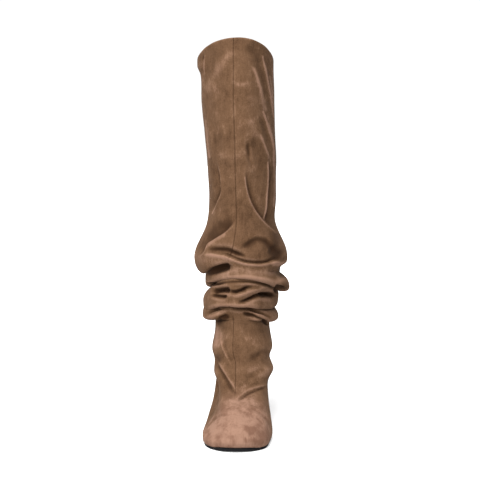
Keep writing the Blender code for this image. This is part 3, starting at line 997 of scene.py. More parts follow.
@dataclass(frozen=True)
class SuedeFinish:
    """Brushed suede: mottled nap with vertical streaks, painted highlights on ridges and painted
    shade in folds.
    """

    name: str = "taupe suede"
    # Dark brown for the painted shade in folds and pockets, and for the seams
    deep: Colour = (0.0100, 0.0042, 0.0018)
    dark: Colour = (0.0320, 0.0163, 0.0082)
    middle: Colour = (0.0530, 0.0283, 0.0150)
    # Paler nap, also used for painted highlights
    pale: Colour = (0.0810, 0.0455, 0.0262)
    # Painted light on the toe, which faces the light from above
    lit_toe: Colour = (0.0860, 0.0442, 0.0300)
    # Pinkish painted highlight on ridges, also used for pinkish patches of the nap
    pink_highlight_and_patch: Colour = (0.1350, 0.0780, 0.0545)

    def make(self, on_grid: bool) -> bpy.types.Material:
        """Build the material.

        Args:
            on_grid: Whether the mesh carries the cloth's own places, and the relief and strokes
                that set its painted light and shade.

        Returns:
            The finished material.
        """
        graph = Graph(self.name)
        cloth = graph.attribute("cloth", "Vector") if on_grid else graph.place()
        patches = graph.noise(cloth, 26.0, 3.0) - 0.5
        mottle = graph.noise(cloth, 95.0, 4.0, 0.6) - 0.5
        streaks = graph.noise(graph.scaled(cloth, (1.0, 1.0, 0.3)), 420.0, 3.0, 0.65) - 0.5
        brushed = graph.noise(graph.scaled(cloth, (1.0, 1.0, 0.5)), 120.0, 3.0) - 0.5
        nap = graph.noise(graph.place(), 750.0, 3.0, 0.8)
        tone = 0.5 + patches * 0.8 + mottle * 0.8 + streaks * 0.6 + brushed * 0.8
        tone = tone + (nap - 0.5) * 1.4
        if on_grid:
            # Masks of painted light and shade: highlights on ridges and shade in creases, light on
            # bulges and shade in folds, painted light on the toe, and strokes of nap tone with
            # painted shade and highlights
            edge = graph.attribute("edge")
            fold_shading = graph.attribute("fold_shading")
            toe_light_mask = graph.attribute("toe")
            seam = graph.attribute("seam")
            brush = graph.attribute("brush")
            tone = tone + edge * 0.22 + fold_shading * 0.22 + toe_light_mask * 0.45 + brush * 0.55
        colour = graph.mix(tone.ramp(0.02, 0.55), self.dark, self.middle)
        colour = graph.mix(tone.ramp(0.50, 1.10), colour, self.pale)
        if on_grid:
            fleck = mottle * 0.5 + (nap - 0.5)
            # Painted pinkish highlight on ridges and pale strokes, with flecks of the nap
            highlight_and_fleck = (edge * 0.8 + brush + fleck).ramp(0.15, 1.3)
            colour = graph.mix(highlight_and_fleck * 0.75, colour, self.pink_highlight_and_patch)
            # Painted light on the toe, then pinkish patches where it, the mottling and the strokes
            # are strong
            colour = graph.mix(toe_light_mask * 0.85, colour, self.lit_toe)
            toe_light_and_mottle = toe_light_mask * 1.05 + mottle * 2.4 + patches * 1.2 + streaks * 1.6 + brush * 0.8
            colour = graph.mix(toe_light_and_mottle.ramp(0.24, 1.6), colour, self.pink_highlight_and_patch)
            # Painted shade in folds, pockets and dark strokes, less of it on the toe
            painted_shade = (-fold_shading - brush * 0.9 - toe_light_mask * 0.4).ramp(0.25, 1.5)
            colour = graph.mix(painted_shade * 0.85, colour, self.deep)
            colour = graph.mix(seam.ramp(0.35, 1.0) * 0.38, colour, self.deep)
        fibre = graph.noise(graph.scaled(graph.place(), (1.0, 1.0, 0.6)), 1500.0, 3.0, 0.7)
        height = streaks * 0.55 + mottle * 0.5 + fibre * 0.45
        return graph.surface(Base_Color=colour, Roughness=0.96, Sheen_Weight=0.045,
                             Sheen_Roughness=0.5, Sheen_Tint=(0.90, 0.56, 0.38),
                             Specular_IOR_Level=0.03, Normal=graph.bump(height, 0.55, 0.0009))


@dataclass(frozen=True)
class LiningFinish:
    """Woven lining or sock leather, in a paler brown."""

    name: str = "lining"
    dark: Colour = (0.20, 0.125, 0.075)
    light: Colour = (0.34, 0.225, 0.145)
    weave: float = 1400.0

    def make(self) -> bpy.types.Material:
        """Build the material: fine crossing threads with soft mottling."""
        graph = Graph(self.name)
        place = graph.place()
        patches = graph.noise(place, 60.0, 3.0)
        warp = graph.noise(graph.scaled(place, (1.0, 1.0, 0.1)), self.weave, 2.0)
        weft = graph.noise(graph.scaled(place, (0.1, 0.1, 1.0)), self.weave, 2.0)
        threads = warp * 0.5 + weft * 0.5
        colour = graph.mix((patches * 0.6 + threads * 0.6).ramp(0.35, 0.85), self.dark, self.light)
        return graph.surface(Base_Color=colour, Roughness=0.85,
                             Normal=graph.bump(threads, 0.35, 0.0004))


@dataclass(frozen=True)
class RubberFinish:
    """Charcoal rubber with fine grit and pale scuffs low down."""

    name: str = "charcoal rubber"
    dark: Colour = (0.0035, 0.0035, 0.0040)
    worn: Colour = (0.014, 0.013, 0.013)
    ribs: float = 0.0

    def make(self) -> bpy.types.Material:
        """Build the material: grit, scuffs and, where asked, fine ribs across the tread."""
        graph = Graph(self.name)
        place = graph.place()
        grit = graph.noise(place, 1700.0, 2.0, 0.7)
        scuff = graph.noise(graph.scaled(place, (1.0, 0.35, 1.0)), 150.0, 4.0, 0.7)
        colour = graph.mix(scuff.ramp(0.52, 0.80) * 0.6, self.dark, self.worn)
        height = grit * 0.4 + scuff * 0.3
        if self.ribs:
            settings = {"wave_type": "BANDS", "bands_direction": "Y"}
            ribs = graph.node("ShaderNodeTexWave", settings, {"Vector": place, "Scale": self.ribs})
            height = height + ribs * 0.5
        return graph.surface(Base_Color=colour, Roughness=0.7 + scuff * 0.3,
                             Specular_IOR_Level=0.08, Normal=graph.bump(height, 0.4, 0.0005))


@dataclass(frozen=True)
class FloorFinish:
    """Seamless white paper."""

    name: str = "white paper"
    near: Colour = (0.55, 0.55, 0.55)
    far: Colour = (0.99, 0.99, 0.99)

    def make(self) -> bpy.types.Material:
        """Build the material: fine grain, and a duller patch where the lamps are brightest."""
        graph = Graph(self.name)
        place = graph.place()
        grain = graph.noise(place, 900.0, 2.0)
        away = graph.node("ShaderNodeVectorMath", {"operation": "LENGTH"}, {0: place}, "Value")
        colour = graph.mix((away + grain * 0.05).ramp(0.4, 1.8), self.near, self.far)
        return graph.surface(Base_Color=colour, Roughness=0.9, Specular_IOR_Level=0.1,
                             Emission_Color=self.far, Emission_Strength=0.4)


# Meshes


def grid_faces(rows: int, count: int, wrap_rows: bool) -> np.ndarray:
    """Work out the quads of a grid that closes round its columns.

    Args:
        rows: Number of rows.
        count: Number of columns.
        wrap_rows: Whether it also closes round its rows.

    Returns:
        Four vertex numbers per face.
    """
    row = np.arange(rows if wrap_rows else rows - 1)[:, None]
    place = np.arange(count)[None, :]
    after = (place + 1) % count
    low, high = row * count, (row + 1) % rows * count
    return np.stack((low + place, high + place, high + after, low + after), axis=2).reshape(-1, 4)


def strip_faces(start: int, count: int, upwards: bool) -> list[tuple[int, ...]]:
    """Strip of faces across a ring whose places mirror each other about its first one.

    Args:
        start: Number of the ring's first vertex.
        count: Even number of places in the ring.
        upwards: Whether the faces look up, for a ring that turns clockwise seen from above.

    Returns:
        The faces, with a triangle at either end.
    """
    half = count // 2
    near = np.arange(1, half - 1)
    quads = np.stack((near, near + 1, count - near - 1, count - near), axis=1) + start
    faces = [(start, start + 1, start + count - 1)]
    faces += [tuple(int(v) for v in quad) for quad in quads]
    faces.append((start + half - 1, start + half, start + half + 1))
    return faces if upwards else [tuple(reversed(face)) for face in faces]


def new_piece(name: str, vertices: np.ndarray, faces: list, node: str) -> bpy.types.Object:
    """Add a smooth piece that rides on the boot and stands for a node.

    Args:
        name: Name of the piece.
        vertices: One row per vertex.
        faces: Vertex numbers of each face.
        node: Node whose place it takes.

    Returns:
        The new object.
    """
    mesh = bpy.data.meshes.new(name)
    mesh.from_pydata(vertices.tolist(), [], faces)
    mesh.polygons.foreach_set("use_smooth", np.ones(len(mesh.polygons), bool))
    mesh.update()
    piece = add_object(name, mesh)
    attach(piece, "root")
    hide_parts(node)
    LOG.info("%s: %d vertices, %d faces", name, len(vertices), len(mesh.polygons))
    return piece


def stack_piece(name: str, rings: Sequence[np.ndarray], node: str) -> bpy.types.Object:
    """Add a closed piece between rings that run clockwise seen from above.

    Args:
        name: Name of the piece.
        rings: Rings with the same number of points, lowest first.
        node: Node whose place it takes.

    Returns:
        The new object.
    """
    count = len(rings[0])
    faces = [tuple(quad) for quad in grid_faces(len(rings), count, False).tolist()]
    faces += strip_faces(0, count, False)
    faces += strip_faces((len(rings) - 1) * count, count, True)
    return new_piece(name, np.concatenate(rings), faces, node)


def set_value(mesh: bpy.types.Mesh, name: str, values: np.ndarray) -> None:
    """Store a value or a vector on every vertex.

    Args:
        mesh: The mesh.
        name: Name of the attribute.
        values: One value, or one row of three, per vertex.
    """
    kind = "FLOAT_VECTOR" if values.ndim == 2 else "FLOAT"
    attribute = mesh.attributes.new(name, kind, "POINT")
    attribute.data.foreach_set("vector" if values.ndim == 2 else "value", values.ravel())


@dataclass(frozen=True)
class Shelf:
    """One lobe at every angle: heights as shares of the boot's, and reaches in ball widths."""

    crest: np.ndarray
    swell: np.ndarray
    crease: np.ndarray
    root: np.ndarray
    shut: np.ndarray
    droop: float

    @classmethod
    def of(cls, lobe: Lobe, number: int, angle: np.ndarray) -> "Shelf":
        """Work out a lobe, made uneven behind by sine waves round the leg.

        Args:
            lobe: Values of the lobe at the quarters.
            number: Number of the lobe, which shifts its waves.
            angle: Angles of the grid.

        Returns:
            The lobe at the angles.
        """
        behind = smoothstep(*WAVER_BEHIND, -np.cos(angle))
        turn = WAVER_TURNS[0] * angle + WAVER_STEPS[0] * number
        swing = np.sin(WAVER_TURNS[1] * angle + WAVER_STEPS[1] * number) * behind
        waver, later = (WAVER_HEIGHT * np.sin(turn + lag) * behind for lag in (0, WAVER_LAG))
        crest = round_the_leg(lobe.crest, angle) + waver
        crease = round_the_leg(lobe.crease, angle) + later
        swell = round_the_leg(lobe.swell, angle) * (1 + WAVER_SWELL * swing)
        swell = swell * (1 - front_window(angle, lobe.bare))
        root = round_the_leg(lobe.root, angle)
        return cls(crest, swell, crease, root, front_window(angle, lobe.closed), lobe.droop)


@dataclass
class SuedeUpper:
    """Hollow suede upper with its lining, slouch folds, creases, seams and collar edge."""

    form: BootForm
    eye: Eye
    columns: int = 240
    foot_rows: int = 84
    slouch_rows: int = 150
    shaft_rows: int = 120
    rim_rows: int = 3
    lining_step: int = 8
    lining_clear: float = 0.0025
    first_row: float = 0.22
    seam_crowding: float = 0.55
    lead_limit: float = 0.5
    lead_fade: int = 4
    wall: float = 0.0018
    hem_step: float = 0.0008
    hem_height: float = 0.012
    deep_from_hems: int = 3
    lasting_margin: float = 0.0070
    edge_rounding: float = 0.0010
    seam_depth: float = 0.0008
    seam_half_width: float = 0.0009
    seam_end: Point2 = (0.050, 0.064)
    seam_in_folds: float = 0.55
    folds_start: Point2 = (0.140, 0.155)
    folds_end: Point2 = (0.232, 0.222)
    back_seam_turn: float = 0.03
    back_seam_share: float = 0.6
    # Width and tone of the painted highlight along the collar's top edge
    rim_width: float = 0.0011
    rim_highlight: float = 0.35
    insole_clear: float = 0.0003
    ripple_height: float = 0.00028
    # Reliefs that scale the painted ridge highlights, the painted fold shade and the painted shade
    # of sunk creases, then where the painted light on the toe starts and ends
    ridge_light_relief: float = 0.0005
    fold_shading_relief: float = 0.0040
    crease_shade_relief: float = 0.0080
    toe_along: Point2 = (0.36, 0.10)
    toe_height: Point2 = (0.11, 0.05)
    facing_blur: int = 12
    push_blur: int = 6
    lining_blur: int = 8
    # Blurs behind the painted ridge highlights and the painted fold shade
    ridge_light_blur: int = 5
    fold_shading_blur: int = 60
    room_reach: tuple[int, int] = (10, 5)

    def angles(self, level: np.ndarray) -> tuple[np.ndarray, np.ndarray]:
        """Angles of the grid, crowded at the front and led along the seam's path.

        Args:
            level: Level numbers of the rows.

        Returns:
            Plain angles of the columns, and the angles of every row and column.
        """
        even = np.arange(self.columns) * TAU / self.columns
        plain = even - self.seam_crowding * np.sin(even)
        marks = np.arange(len(LEVELS))
        height = through(marks, column(LEVELS, "front_z"), level) * self.form.boot_height / MM
        side = through(marks, column(LEVELS, "outer"), level) * self.form.ball_width
        path = through([p[0] for p in SEAM_PATH], [p[1] for p in SEAM_PATH], height) * MM
        lead = np.arcsin(np.clip(-path / side, -self.lead_limit, self.lead_limit))
        hold = np.cos(plain / 2) ** self.lead_fade
        return plain, plain[None, :] + lead[:, None] * hold[None, :]

    def lobes(self, height: np.ndarray, angle: np.ndarray) -> tuple[np.ndarray, np.ndarray]:
        """Slouched lobes as quarter ellipses stacked on each other.

        From a crease up to a crest the cloth stands out with the sine of a quarter turn and rises
        with one less its cosine, and from the crest up to the next crease it is the other way
        round. Above the topmost crest it falls back with a bell.

        Args:
            height: Heights of the cloth before it slouched, as shares of the boot's.
            angle: Angles of the grid.

        Returns:
            How far the cloth stands out and how far it moves up, both in metres.
        """
        out = np.zeros(height.shape)
        rise = np.zeros(height.shape)
        over = None
        for number, lobe in enumerate(LOBES):
            here = Shelf.of(lobe, number, angle)
            span = here.crest - here.crease
            lower = (height > here.crease) & (height <= here.crest)
            t = np.clip((height - here.crease) / span, 0, 1) * math.pi / 2
            out = np.where(lower, here.root + (here.swell - here.root) * np.sin(t), out)
            lift = span * (1 - np.cos(t)) + here.crease - height - here.droop * np.sin(t)
            rise = np.where(lower, lift, rise)
            if over is None:
                away = np.clip(height - here.crest, 0, None) / BALLOON_REACH
                bell = np.exp(-away ** 2)
                out = np.where(height > here.crest, here.swell * bell, out)
                rise = np.where(height > here.crest, -here.droop * bell, rise)
            else:
                out, rise = self.between(here, over, height, out, rise)
            over = here
        for notch in NOTCHES:
            turn = np.mod(angle - notch.angle + math.pi, TAU) - math.pi
            near = ((height + rise - notch.height) / notch.reach) ** 4
            hold = np.exp(-near - (turn / notch.turn) ** 2)
            out = out + (notch.floor - out) * hold
        return out * self.form.ball_width, rise * self.form.boot_height

    def between(self, here: Shelf, over: Shelf, height: np.ndarray, out: np.ndarray,
                rise: np.ndarray) -> tuple[np.ndarray, np.ndarray]:
        """Cloth from a lobe's crest to the lobe above it.

        Up to the crease above, the swell changes to the root with one less the cosine of a
        quarter turn. Where that crease is closed, the cloth runs straight to the crest above.

        Args:
            here: The lower lobe.
            over: The lobe above it.
            height: Heights of the cloth before it slouched.
            out: How far the cloth stands out so far, in ball widths.
            rise: How far it moves up so far, in boot heights.

        Returns:
            Both of these with the stretch between the lobes worked in.
        """
        upper = (height > here.crest) & (height <= over.crease)
        span = over.crease - here.crest
        t = np.clip((height - here.crest) / span, 0, 1) * math.pi / 2
        out = np.where(upper, here.swell + (over.root - here.swell) * (1 - np.cos(t)), out)
        lift = here.crest - height + span * np.sin(t) - here.droop * np.cos(t)
        rise = np.where(upper, lift, rise)
        share = np.clip((height - here.crest) / (over.crest - here.crest), 0, 1)
        shut = over.shut * (height > here.crest) * (height <= over.crest)
        out = out + (here.swell + (over.swell - here.swell) * share - out) * shut
        rise = rise - (here.droop + (over.droop - here.droop) * share + rise) * shut
        return out, rise

    def slouched(self, skin: np.ndarray, angle: np.ndarray) -> np.ndarray:
        """Lay the lobes, the collar's ear and the foot's soft folds on a skin.

        Lobes stand out along the normal and move up along the rows. Ear and folds are bells of
        the height, which stand out and, for the folds, hang down.

        Args:
            skin: Upper before it slouched.
            angle: Angles of the grid.

        Returns:
            The slouched skin.
        """
        outward = outward_of(skin)
        upward = unit(np.gradient(skin, axis=0))
        height = skin[:, :, 2] / self.form.boot_height
        out, rise = self.lobes(height, angle)
        turn = (np.mod(angle, TAU) - EAR_ANGLE) / EAR_TURN
        reach = np.where(height > EAR_HEIGHT, EAR_ABOVE, EAR_BELOW)
        ear = np.exp(-turn ** 2 - ((height - EAR_HEIGHT) / reach) ** 2)
        out = out + EAR_SWELL * self.form.ball_width * ear
        moved = skin + out[:, :, None] * outward + rise[:, :, None] * upward
        for fold in FOLDS:
            above = height - round_the_leg(fold.height, angle)
            reach = np.where(above > 0, fold.above, fold.below)
            bump = np.exp(-((above / reach) ** 2))[:, :, None]
            swell = (round_the_leg(fold.swell, angle) * self.form.ball_width)[:, :, None]
            moved += bump * swell * outward
            moved -= bump * fold.droop * self.form.boot_height * upward
        return moved

    def creases(self, skin: np.ndarray, plain: np.ndarray, angle: np.ndarray) -> np.ndarray:
        """Lift of all creases, in metres.

        Args:
            skin: Slouched skin, on which the front creases are seen from the eye.
            plain: Skin before it slouched, whose heights place the creases of sides and back.
            angle: Angles of the grid.

        Returns:
            Lift of every point along the outward normal.
        """
        across, height = self.eye.seen(skin)
        front = self.front(skin)
        lift = np.zeros(angle.shape)
        for crease in SLOUCH_CREASES + SHAFT_CREASES + FOOT_CREASES:
            lift += crease_lift(crease, across, height) * front
        turn = np.degrees(np.mod(angle, TAU))
        wrap = WRAP_GAIN * (1 - front)
        for crease in WRAP_CREASES:
            points = tuple((degree * WRAP_MM_PER_DEGREE, z) for degree, z in crease.points)
            flat = replace(crease, points=points)
            lift += crease_lift(flat, turn * WRAP_MM_PER_DEGREE, plain[:, :, 2] / MM) * wrap
        return lift * MM

    def front(self, skin: np.ndarray) -> np.ndarray:
        """How far the smoothed skin faces the eye."""
        return self.eye.facing(skin, outward_of(blurred(skin, self.facing_blur)))

    def ripples(self, cloth: np.ndarray) -> np.ndarray:
        """Slight unevenness of the cloth: two products of crossing sine waves.

        Args:
            cloth: Upper before it slouched, whose places the waves follow.

        Returns:
            Height of every point, in metres.
        """
        x, y, z = (cloth[:, :, k] for k in range(3))
        wave = np.zeros(x.shape)
        for ripple in RIPPLES:
            first = np.sin(x * ripple.across + z * ripple.across_up)
            wave += ripple.share * first * np.sin(y * ripple.along + z * ripple.along_up)
        return wave * self.ripple_height

    def build(self) -> bpy.types.Object:
        """Build the upper as one closed grid: outer skin, rounded collar, lining and margin."""
        foot = np.linspace(self.first_row, FOOT_TOP, self.foot_rows, endpoint=False)
        folds = np.linspace(FOOT_TOP, SLOUCH_TOP, self.slouch_rows, endpoint=False)
        shaft = np.linspace(SLOUCH_TOP, len(LEVELS) - 1, self.shaft_rows)
        level = np.concatenate((foot, folds, shaft))
        plain_angle, angle = self.angles(level)
        plain = self.form.plain_upper(level, angle) + self.form.shift()
        skin = self.slouched(plain, angle)
        lift = self.creases(skin, plain, angle)
        push = outward_of(blurred(skin, self.push_blur))
        shaped = skin + (lift + self.ripples(plain))[:, :, None] * push
        rise = skin[:, :, 2]
        gathered = smoothstep(*self.folds_start, rise) * smoothstep(*self.folds_end, rise)
        seam = self.seam_weight(shaped) * (1 - self.seam_in_folds * gathered)
        seam = seam * smoothstep(*self.seam_end, rise)
        back = np.exp(-((np.mod(angle, TAU) - math.pi) / self.back_seam_turn) ** 2)
        groove = self.seam_depth * (seam + self.back_seam_share * back)
        outer = shaped - groove[:, :, None] * outward_of(shaped)
        out = self.lobes(plain[:, :, 2] / self.form.boot_height, angle)[0] + lift
        room = lowest_near(out, *self.room_reach) - self.lining_clear
        lining = plain + room[:, :, None] * outward_of(plain)
        # Painted highlight along the collar's top edge, added to the strokes of nap and of painted
        # light and shade
        rim = np.exp(-(np.linalg.norm(skin - skin[-1:], axis=2) / self.rim_width) ** 2)
        nap = self.nap_and_light_tone(skin) + self.rim_highlight * rim
        seams = np.maximum(seam, back * self.back_seam_share)
        marks = {"brush": nap, "seam": seams, "cloth": plain}
        return self.assemble(outer, lining, lift, marks, plain_angle)

    def nap_and_light_tone(self, skin: np.ndarray) -> np.ndarray:
        """Sum the strokes of nap and of painted light and shade on the part of the skin that faces
        the eye.

        Args:
            skin: Slouched skin.

        Returns:
            Tone of every point, above 0 where the nap is paler or a highlight is painted, and below
            0 where it is darker or shade is painted.
        """
        across, height = self.eye.seen(skin)
        tone = np.zeros(across.shape)
        for stroke in NAP_AND_LIGHT_STROKES:
            tone += stroke_tone(stroke, across, height)
        return tone * self.front(skin) ** 2

    def seam_weight(self, skin: np.ndarray) -> np.ndarray:
        """Closeness to the front seam, 1 on it, from the distance along each row."""
        away = np.linalg.norm(skin - skin[:, :1], axis=2)
        return np.exp(-((away / self.seam_half_width) ** 2))

    def assemble(self, outer: np.ndarray, deep: np.ndarray, lift: np.ndarray,
                 marks: dict[str, np.ndarray], plain_angle: np.ndarray) -> bpy.types.Object:
        """Join the skins into one piece and dress it.

        Args:
            outer: Outer skin.
            deep: Lining behind the deepest creases, which it follows below the hem.
            lift: Lift of the creases.
            marks: What the finish reads, by name: strokes of nap and of painted light and shade,
                seams and places on the cloth.
            plain_angle: Angles of the columns for the margin's rings.

        Returns:
            The upper.
        """
        below_top = np.linalg.norm(outer - outer[-1:], axis=2)
        thick = self.wall + self.hem_step * (below_top < self.hem_height)
        inner = outer - outward_of(blurred(outer, self.lining_blur)) * thick[:, :, None]
        deep_from = self.deep_from_hems * self.hem_height
        lower = smoothstep(self.hem_height, deep_from, below_top)[:, :, None]
        inner = inner * (1 - lower) + deep * lower
        keep = np.arange(len(outer) - 1, -1, -self.lining_step)
        inner_rows = inner[keep]
        middle = (outer[-1] + inner[-1]) / 2
        upward = unit(outer[-1] - outer[-3])
        turns = np.linspace(0, math.pi, self.rim_rows + 2)[1:-1]
        radius = np.linalg.norm(outer[-1] - inner[-1], axis=1, keepdims=True) / 2
        rim = [middle + (outer[-1] - middle) * math.cos(t) + upward * radius * math.sin(t)
               for t in turns]
        rise = np.array((0, 0, self.wall))
        behind = self.edge_rounding + self.wall
        insets = (self.lasting_margin, self.edge_rounding, behind, behind + self.insole_clear)
        margin, edge, inner_edge, step = (
            self.form.placed_ring(plain_angle, inset) for inset in insets)
        edge[:, 2] -= self.form.corner_drop * self.form.corner(plain_angle) ** 2
        foot = np.stack((margin, step, edge))
        lining_foot = np.stack((inner_edge + rise, margin + rise))
        rows = np.concatenate((foot, outer, np.stack(rim), inner_rows, lining_foot))
        faces = [tuple(q) for q in grid_faces(len(rows), self.columns, True).tolist()]
        piece = new_piece("suede_upper", rows.reshape(-1, 3), faces, "upper")
        self.dress(piece, outer, lift, marks, (len(foot), len(rows)))
        return piece

    def dress(self, piece: bpy.types.Object, outer: np.ndarray, lift: np.ndarray,
              marks: dict[str, np.ndarray], counts: tuple[int, int]) -> None:
        """Store the nap's places, the relief and the masks of painted light and shade on the mesh,
        and give both skins their finish.

        Args:
            piece: The upper.
            outer: Outer skin.
            lift: Lift of the creases.
            marks: What the finish reads besides the relief, by name, among them the strokes of
                painted light and shade.
            counts: Number of rows before the outer skin, and in the whole piece.
        """
        before, rows = counts
        outward = outward_of(outer)
        # Masks for painted light and shade: highlights on small ridges and shade in small creases,
        # then shade in large folds and sunk creases and light on large bulges
        small = ((outer - blurred(outer, self.ridge_light_blur)) * outward).sum(axis=2)
        large = ((outer - blurred(outer, self.fold_shading_blur)) * outward).sum(axis=2)
        edge = np.tanh(small / self.ridge_light_relief)
        fold_shading = np.tanh(large / self.fold_shading_relief + np.minimum(lift, 0) / self.crease_shade_relief)
        # Painted light on the top of the toe, where light from above falls
        along = (outer[:, :, 1] - outer[:, :, 1].min()) / self.form.foot_length
        toe = smoothstep(*self.toe_along, along) * smoothstep(*self.toe_height, outer[:, :, 2])
        values = {"edge": edge, "fold_shading": fold_shading, "toe": toe, **marks}
        for name, value in values.items():
            full = np.concatenate((np.repeat(value[:1], before, axis=0), value,
                                   np.repeat(value[-1:], rows - before - len(value), axis=0)))
            flat = full.reshape(-1, 3) if full.ndim == 3 else full.ravel()
            set_value(piece.data, name, flat)
        piece.data.materials.append(SuedeFinish().make(True))
        piece.data.materials.append(LiningFinish().make())
        face_row = np.repeat(np.arange(rows), self.columns)
        first_lining = before + len(outer) + self.rim_rows
        side = np.where(face_row >= first_lining, Side.LINING.value, Side.SUEDE.value)
        side[face_row >= rows - 1] = Side.LINING.value
        piece.data.polygons.foreach_set("material_index", side.astype(np.int32))


@dataclass
class ThinSole:
    """Thin dark sole from the toe to the back of the heel seat."""

    form: BootForm
    columns: int = 200
    rounding: float = 0.0008
    rounding_rings: int = 5
    side_shares: tuple[float, ...] = (0.45, 0.75)
    ribs: float = 160.0

    def build(self) -> bpy.types.Object:
        """Build the sole: rings from the tread over a rounded edge to the feather line."""
        angle = np.arange(self.columns) * TAU / self.columns
        turns = np.linspace(0, math.pi / 2, self.rounding_rings)
        thick = self.form.sole_thickness
        rings = []
        for turn in turns:
            inset = self.rounding * (1 - math.sin(turn))
            drop = self.form.sole_gap + thick - self.rounding * (1 - math.cos(turn))
            rings.append(self.ring(angle, inset, drop))
        for share in self.side_shares:
            rings.append(self.ring(angle, 0.0, self.form.sole_gap + thick * (1 - share)))
        for turn in turns:
            inset = self.rounding * (1 - math.cos(turn))
            drop = self.form.sole_gap + self.rounding * (1 - math.sin(turn))
            rings.append(self.ring(angle, inset, drop))
        piece = stack_piece("thin_sole", rings, "outsole")
        piece.data.materials.append(RubberFinish(ribs=self.ribs).make())
        return piece

    def ring(self, angle: np.ndarray, inset: float, drop: float) -> np.ndarray:
        """Outline moved inwards, more so at the toe's corners, and set below the feather line.

        Args:
            angle: Angles of the ring.
            inset: Distance inwards.
            drop: Distance below the feather line.

        Returns:
            One point per angle.
        """
        inset = inset + self.form.corner_inset * self.form.corner(angle)
        return self.form.placed_ring(angle, inset) - np.array((0, 0, drop))


@dataclass
class SockInsole:
    """Insole with a soft edge, lying on the lasting margin."""

    form: BootForm
    columns: int = 160
    inset: float = 0.0040
    rise: float = 0.0023
    thickness: float = 0.0018
    edge: float = 0.0010
    bevel_share: float = 0.3

    def build(self) -> bpy.types.Object:
        """Build the insole: a low ring, its side and a rounded upper edge."""
        angle = np.arange(self.columns) * TAU / self.columns
        bevel = self.edge * self.bevel_share
        steps = ((0.0, 0.0), (0.0, self.thickness - self.edge),
                 (bevel, self.thickness - bevel), (self.edge, self.thickness))
        rings = []
        for inset, lift in steps:
            ring = self.form.placed_ring(angle, self.inset + inset)
            rings.append(ring + np.array((0, 0, self.rise + lift)))
        piece = stack_piece("sock_insole", rings, "insole")
        finish = LiningFinish(name="sock", dark=(0.22, 0.14, 0.085), light=(0.36, 0.245, 0.16))
        piece.data.materials.append(finish.make())
        return piece


@dataclass(frozen=True)
class HeelLevel:
    """One level of the heel: share of the way down, size, and place forwards in foot lengths."""

    down: float
    size: float
    forward: float


HEEL = (
    HeelLevel(0.00, 0.965, 0.000),
    HeelLevel(0.25, 0.900, 0.002),
    HeelLevel(0.55, 0.850, 0.004),
    HeelLevel(0.80, 0.830, 0.005),
    HeelLevel(1.00, 0.830, 0.005),
)


@dataclass
class CoveredHeel:
    """Block heel covered in the same suede, with its rubber top piece."""

    form: BootForm
    half_columns: int = 56
    rows: int = 44
    round_share: float = 0.72
    top_piece: float = 0.0060
    gap: float = 0.0003
    softening: int = 5
    rounding: float = 0.0009
    bevel: float = 0.0003
    bevel_inset: float = 0.0004

    def outline(self, down: float, inset: float) -> np.ndarray:
        """D-shaped outline with soft corners, from the back over the inner side.

        Args:
            down: Share of the way from the seat to the top piece.
            inset: Distance by which it shrinks on every side.

        Returns:
            One point per place, on the plane.
        """
        form = self.form
        breast = math.acos(1 - 2 * form.heel_breast)
        count = self.half_columns
        round_count = int(count * self.round_share)
        outer = np.linspace(breast, math.pi, round_count)
        inner = np.linspace(math.pi, TAU - breast, round_count)
        rounds = []
        for angle in (outer, inner):
            along = (1 - np.cos(angle)) / 2
            half = form.tread_half(along, angle)
            rounds.append(np.stack((-np.sin(angle) * half, form.foot_y(along)), axis=1))
        straight = np.linspace(0, 1, 2 * (count - round_count) + 2)[1:-1, None]
        front = rounds[1][-1] * (1 - straight) + rounds[0][0] * straight
        ring = np.concatenate((rounds[1], front, rounds[0][:-1]))[::-1]
        ring = self.softened(np.roll(ring, 1, axis=0))
        middle = np.array((0.0, float(form.foot_y((1 + form.heel_breast) / 2))))
        size = through(column(HEEL, "down"), column(HEEL, "size"), down)
        forward = through(column(HEEL, "down"), column(HEEL, "forward"), down) * form.foot_length
        scale = size - inset / np.abs(ring - middle).max()
        return middle + (ring - middle) * scale - np.array((0.0, float(forward)))

    def softened(self, ring: np.ndarray) -> np.ndarray:
        """Ring with its corners smoothed."""
        for _ in range(self.softening):
            before, after = beside(ring, axis=0)
            ring = (before + 2 * ring + after) / 4
        return ring

    def build(self) -> list[bpy.types.Object]:
        """Build the covered block and the top piece."""
        form = self.form
        foot = self.top_piece + self.gap
        rings = []
        for down in np.linspace(1, 0, self.rows):
            end = min(down, 1 - down) * form.heel_height
            inset = self.rounding * max(0.0, 1 - end / self.rounding) ** 2
            outline = self.outline(float(down), inset)
            seat = form.feather(outline[:, 1] / form.foot_length + 0.5)
            seat = seat - 2 * form.sole_gap - form.sole_thickness
            rings.append(np.column_stack((outline, seat + (foot - seat) * down)) + form.shift())
        block = stack_piece("covered_heel", rings, "heel_block")
        block.data.materials.append(SuedeFinish(name="heel suede").make(False))
        return [block, self.build_top_piece()]

    def build_top_piece(self) -> bpy.types.Object:
        """Build the rubber lift with a rounded lower edge."""
        steps = ((0.0, self.rounding), (self.bevel, self.bevel_inset), (self.rounding, 0.0),
                 (self.top_piece - self.bevel, 0.0), (self.top_piece, self.bevel))
        rings = []
        for height, inset in steps:
            outline = self.outline(1.0, inset)
            ring = np.column_stack((outline, np.full(len(outline), height)))
            rings.append(ring + self.form.shift())
        piece = stack_piece("rubber_top_piece", rings, "top_piece")
        piece.data.materials.append(RubberFinish(name="heel rubber").make())
        return piece


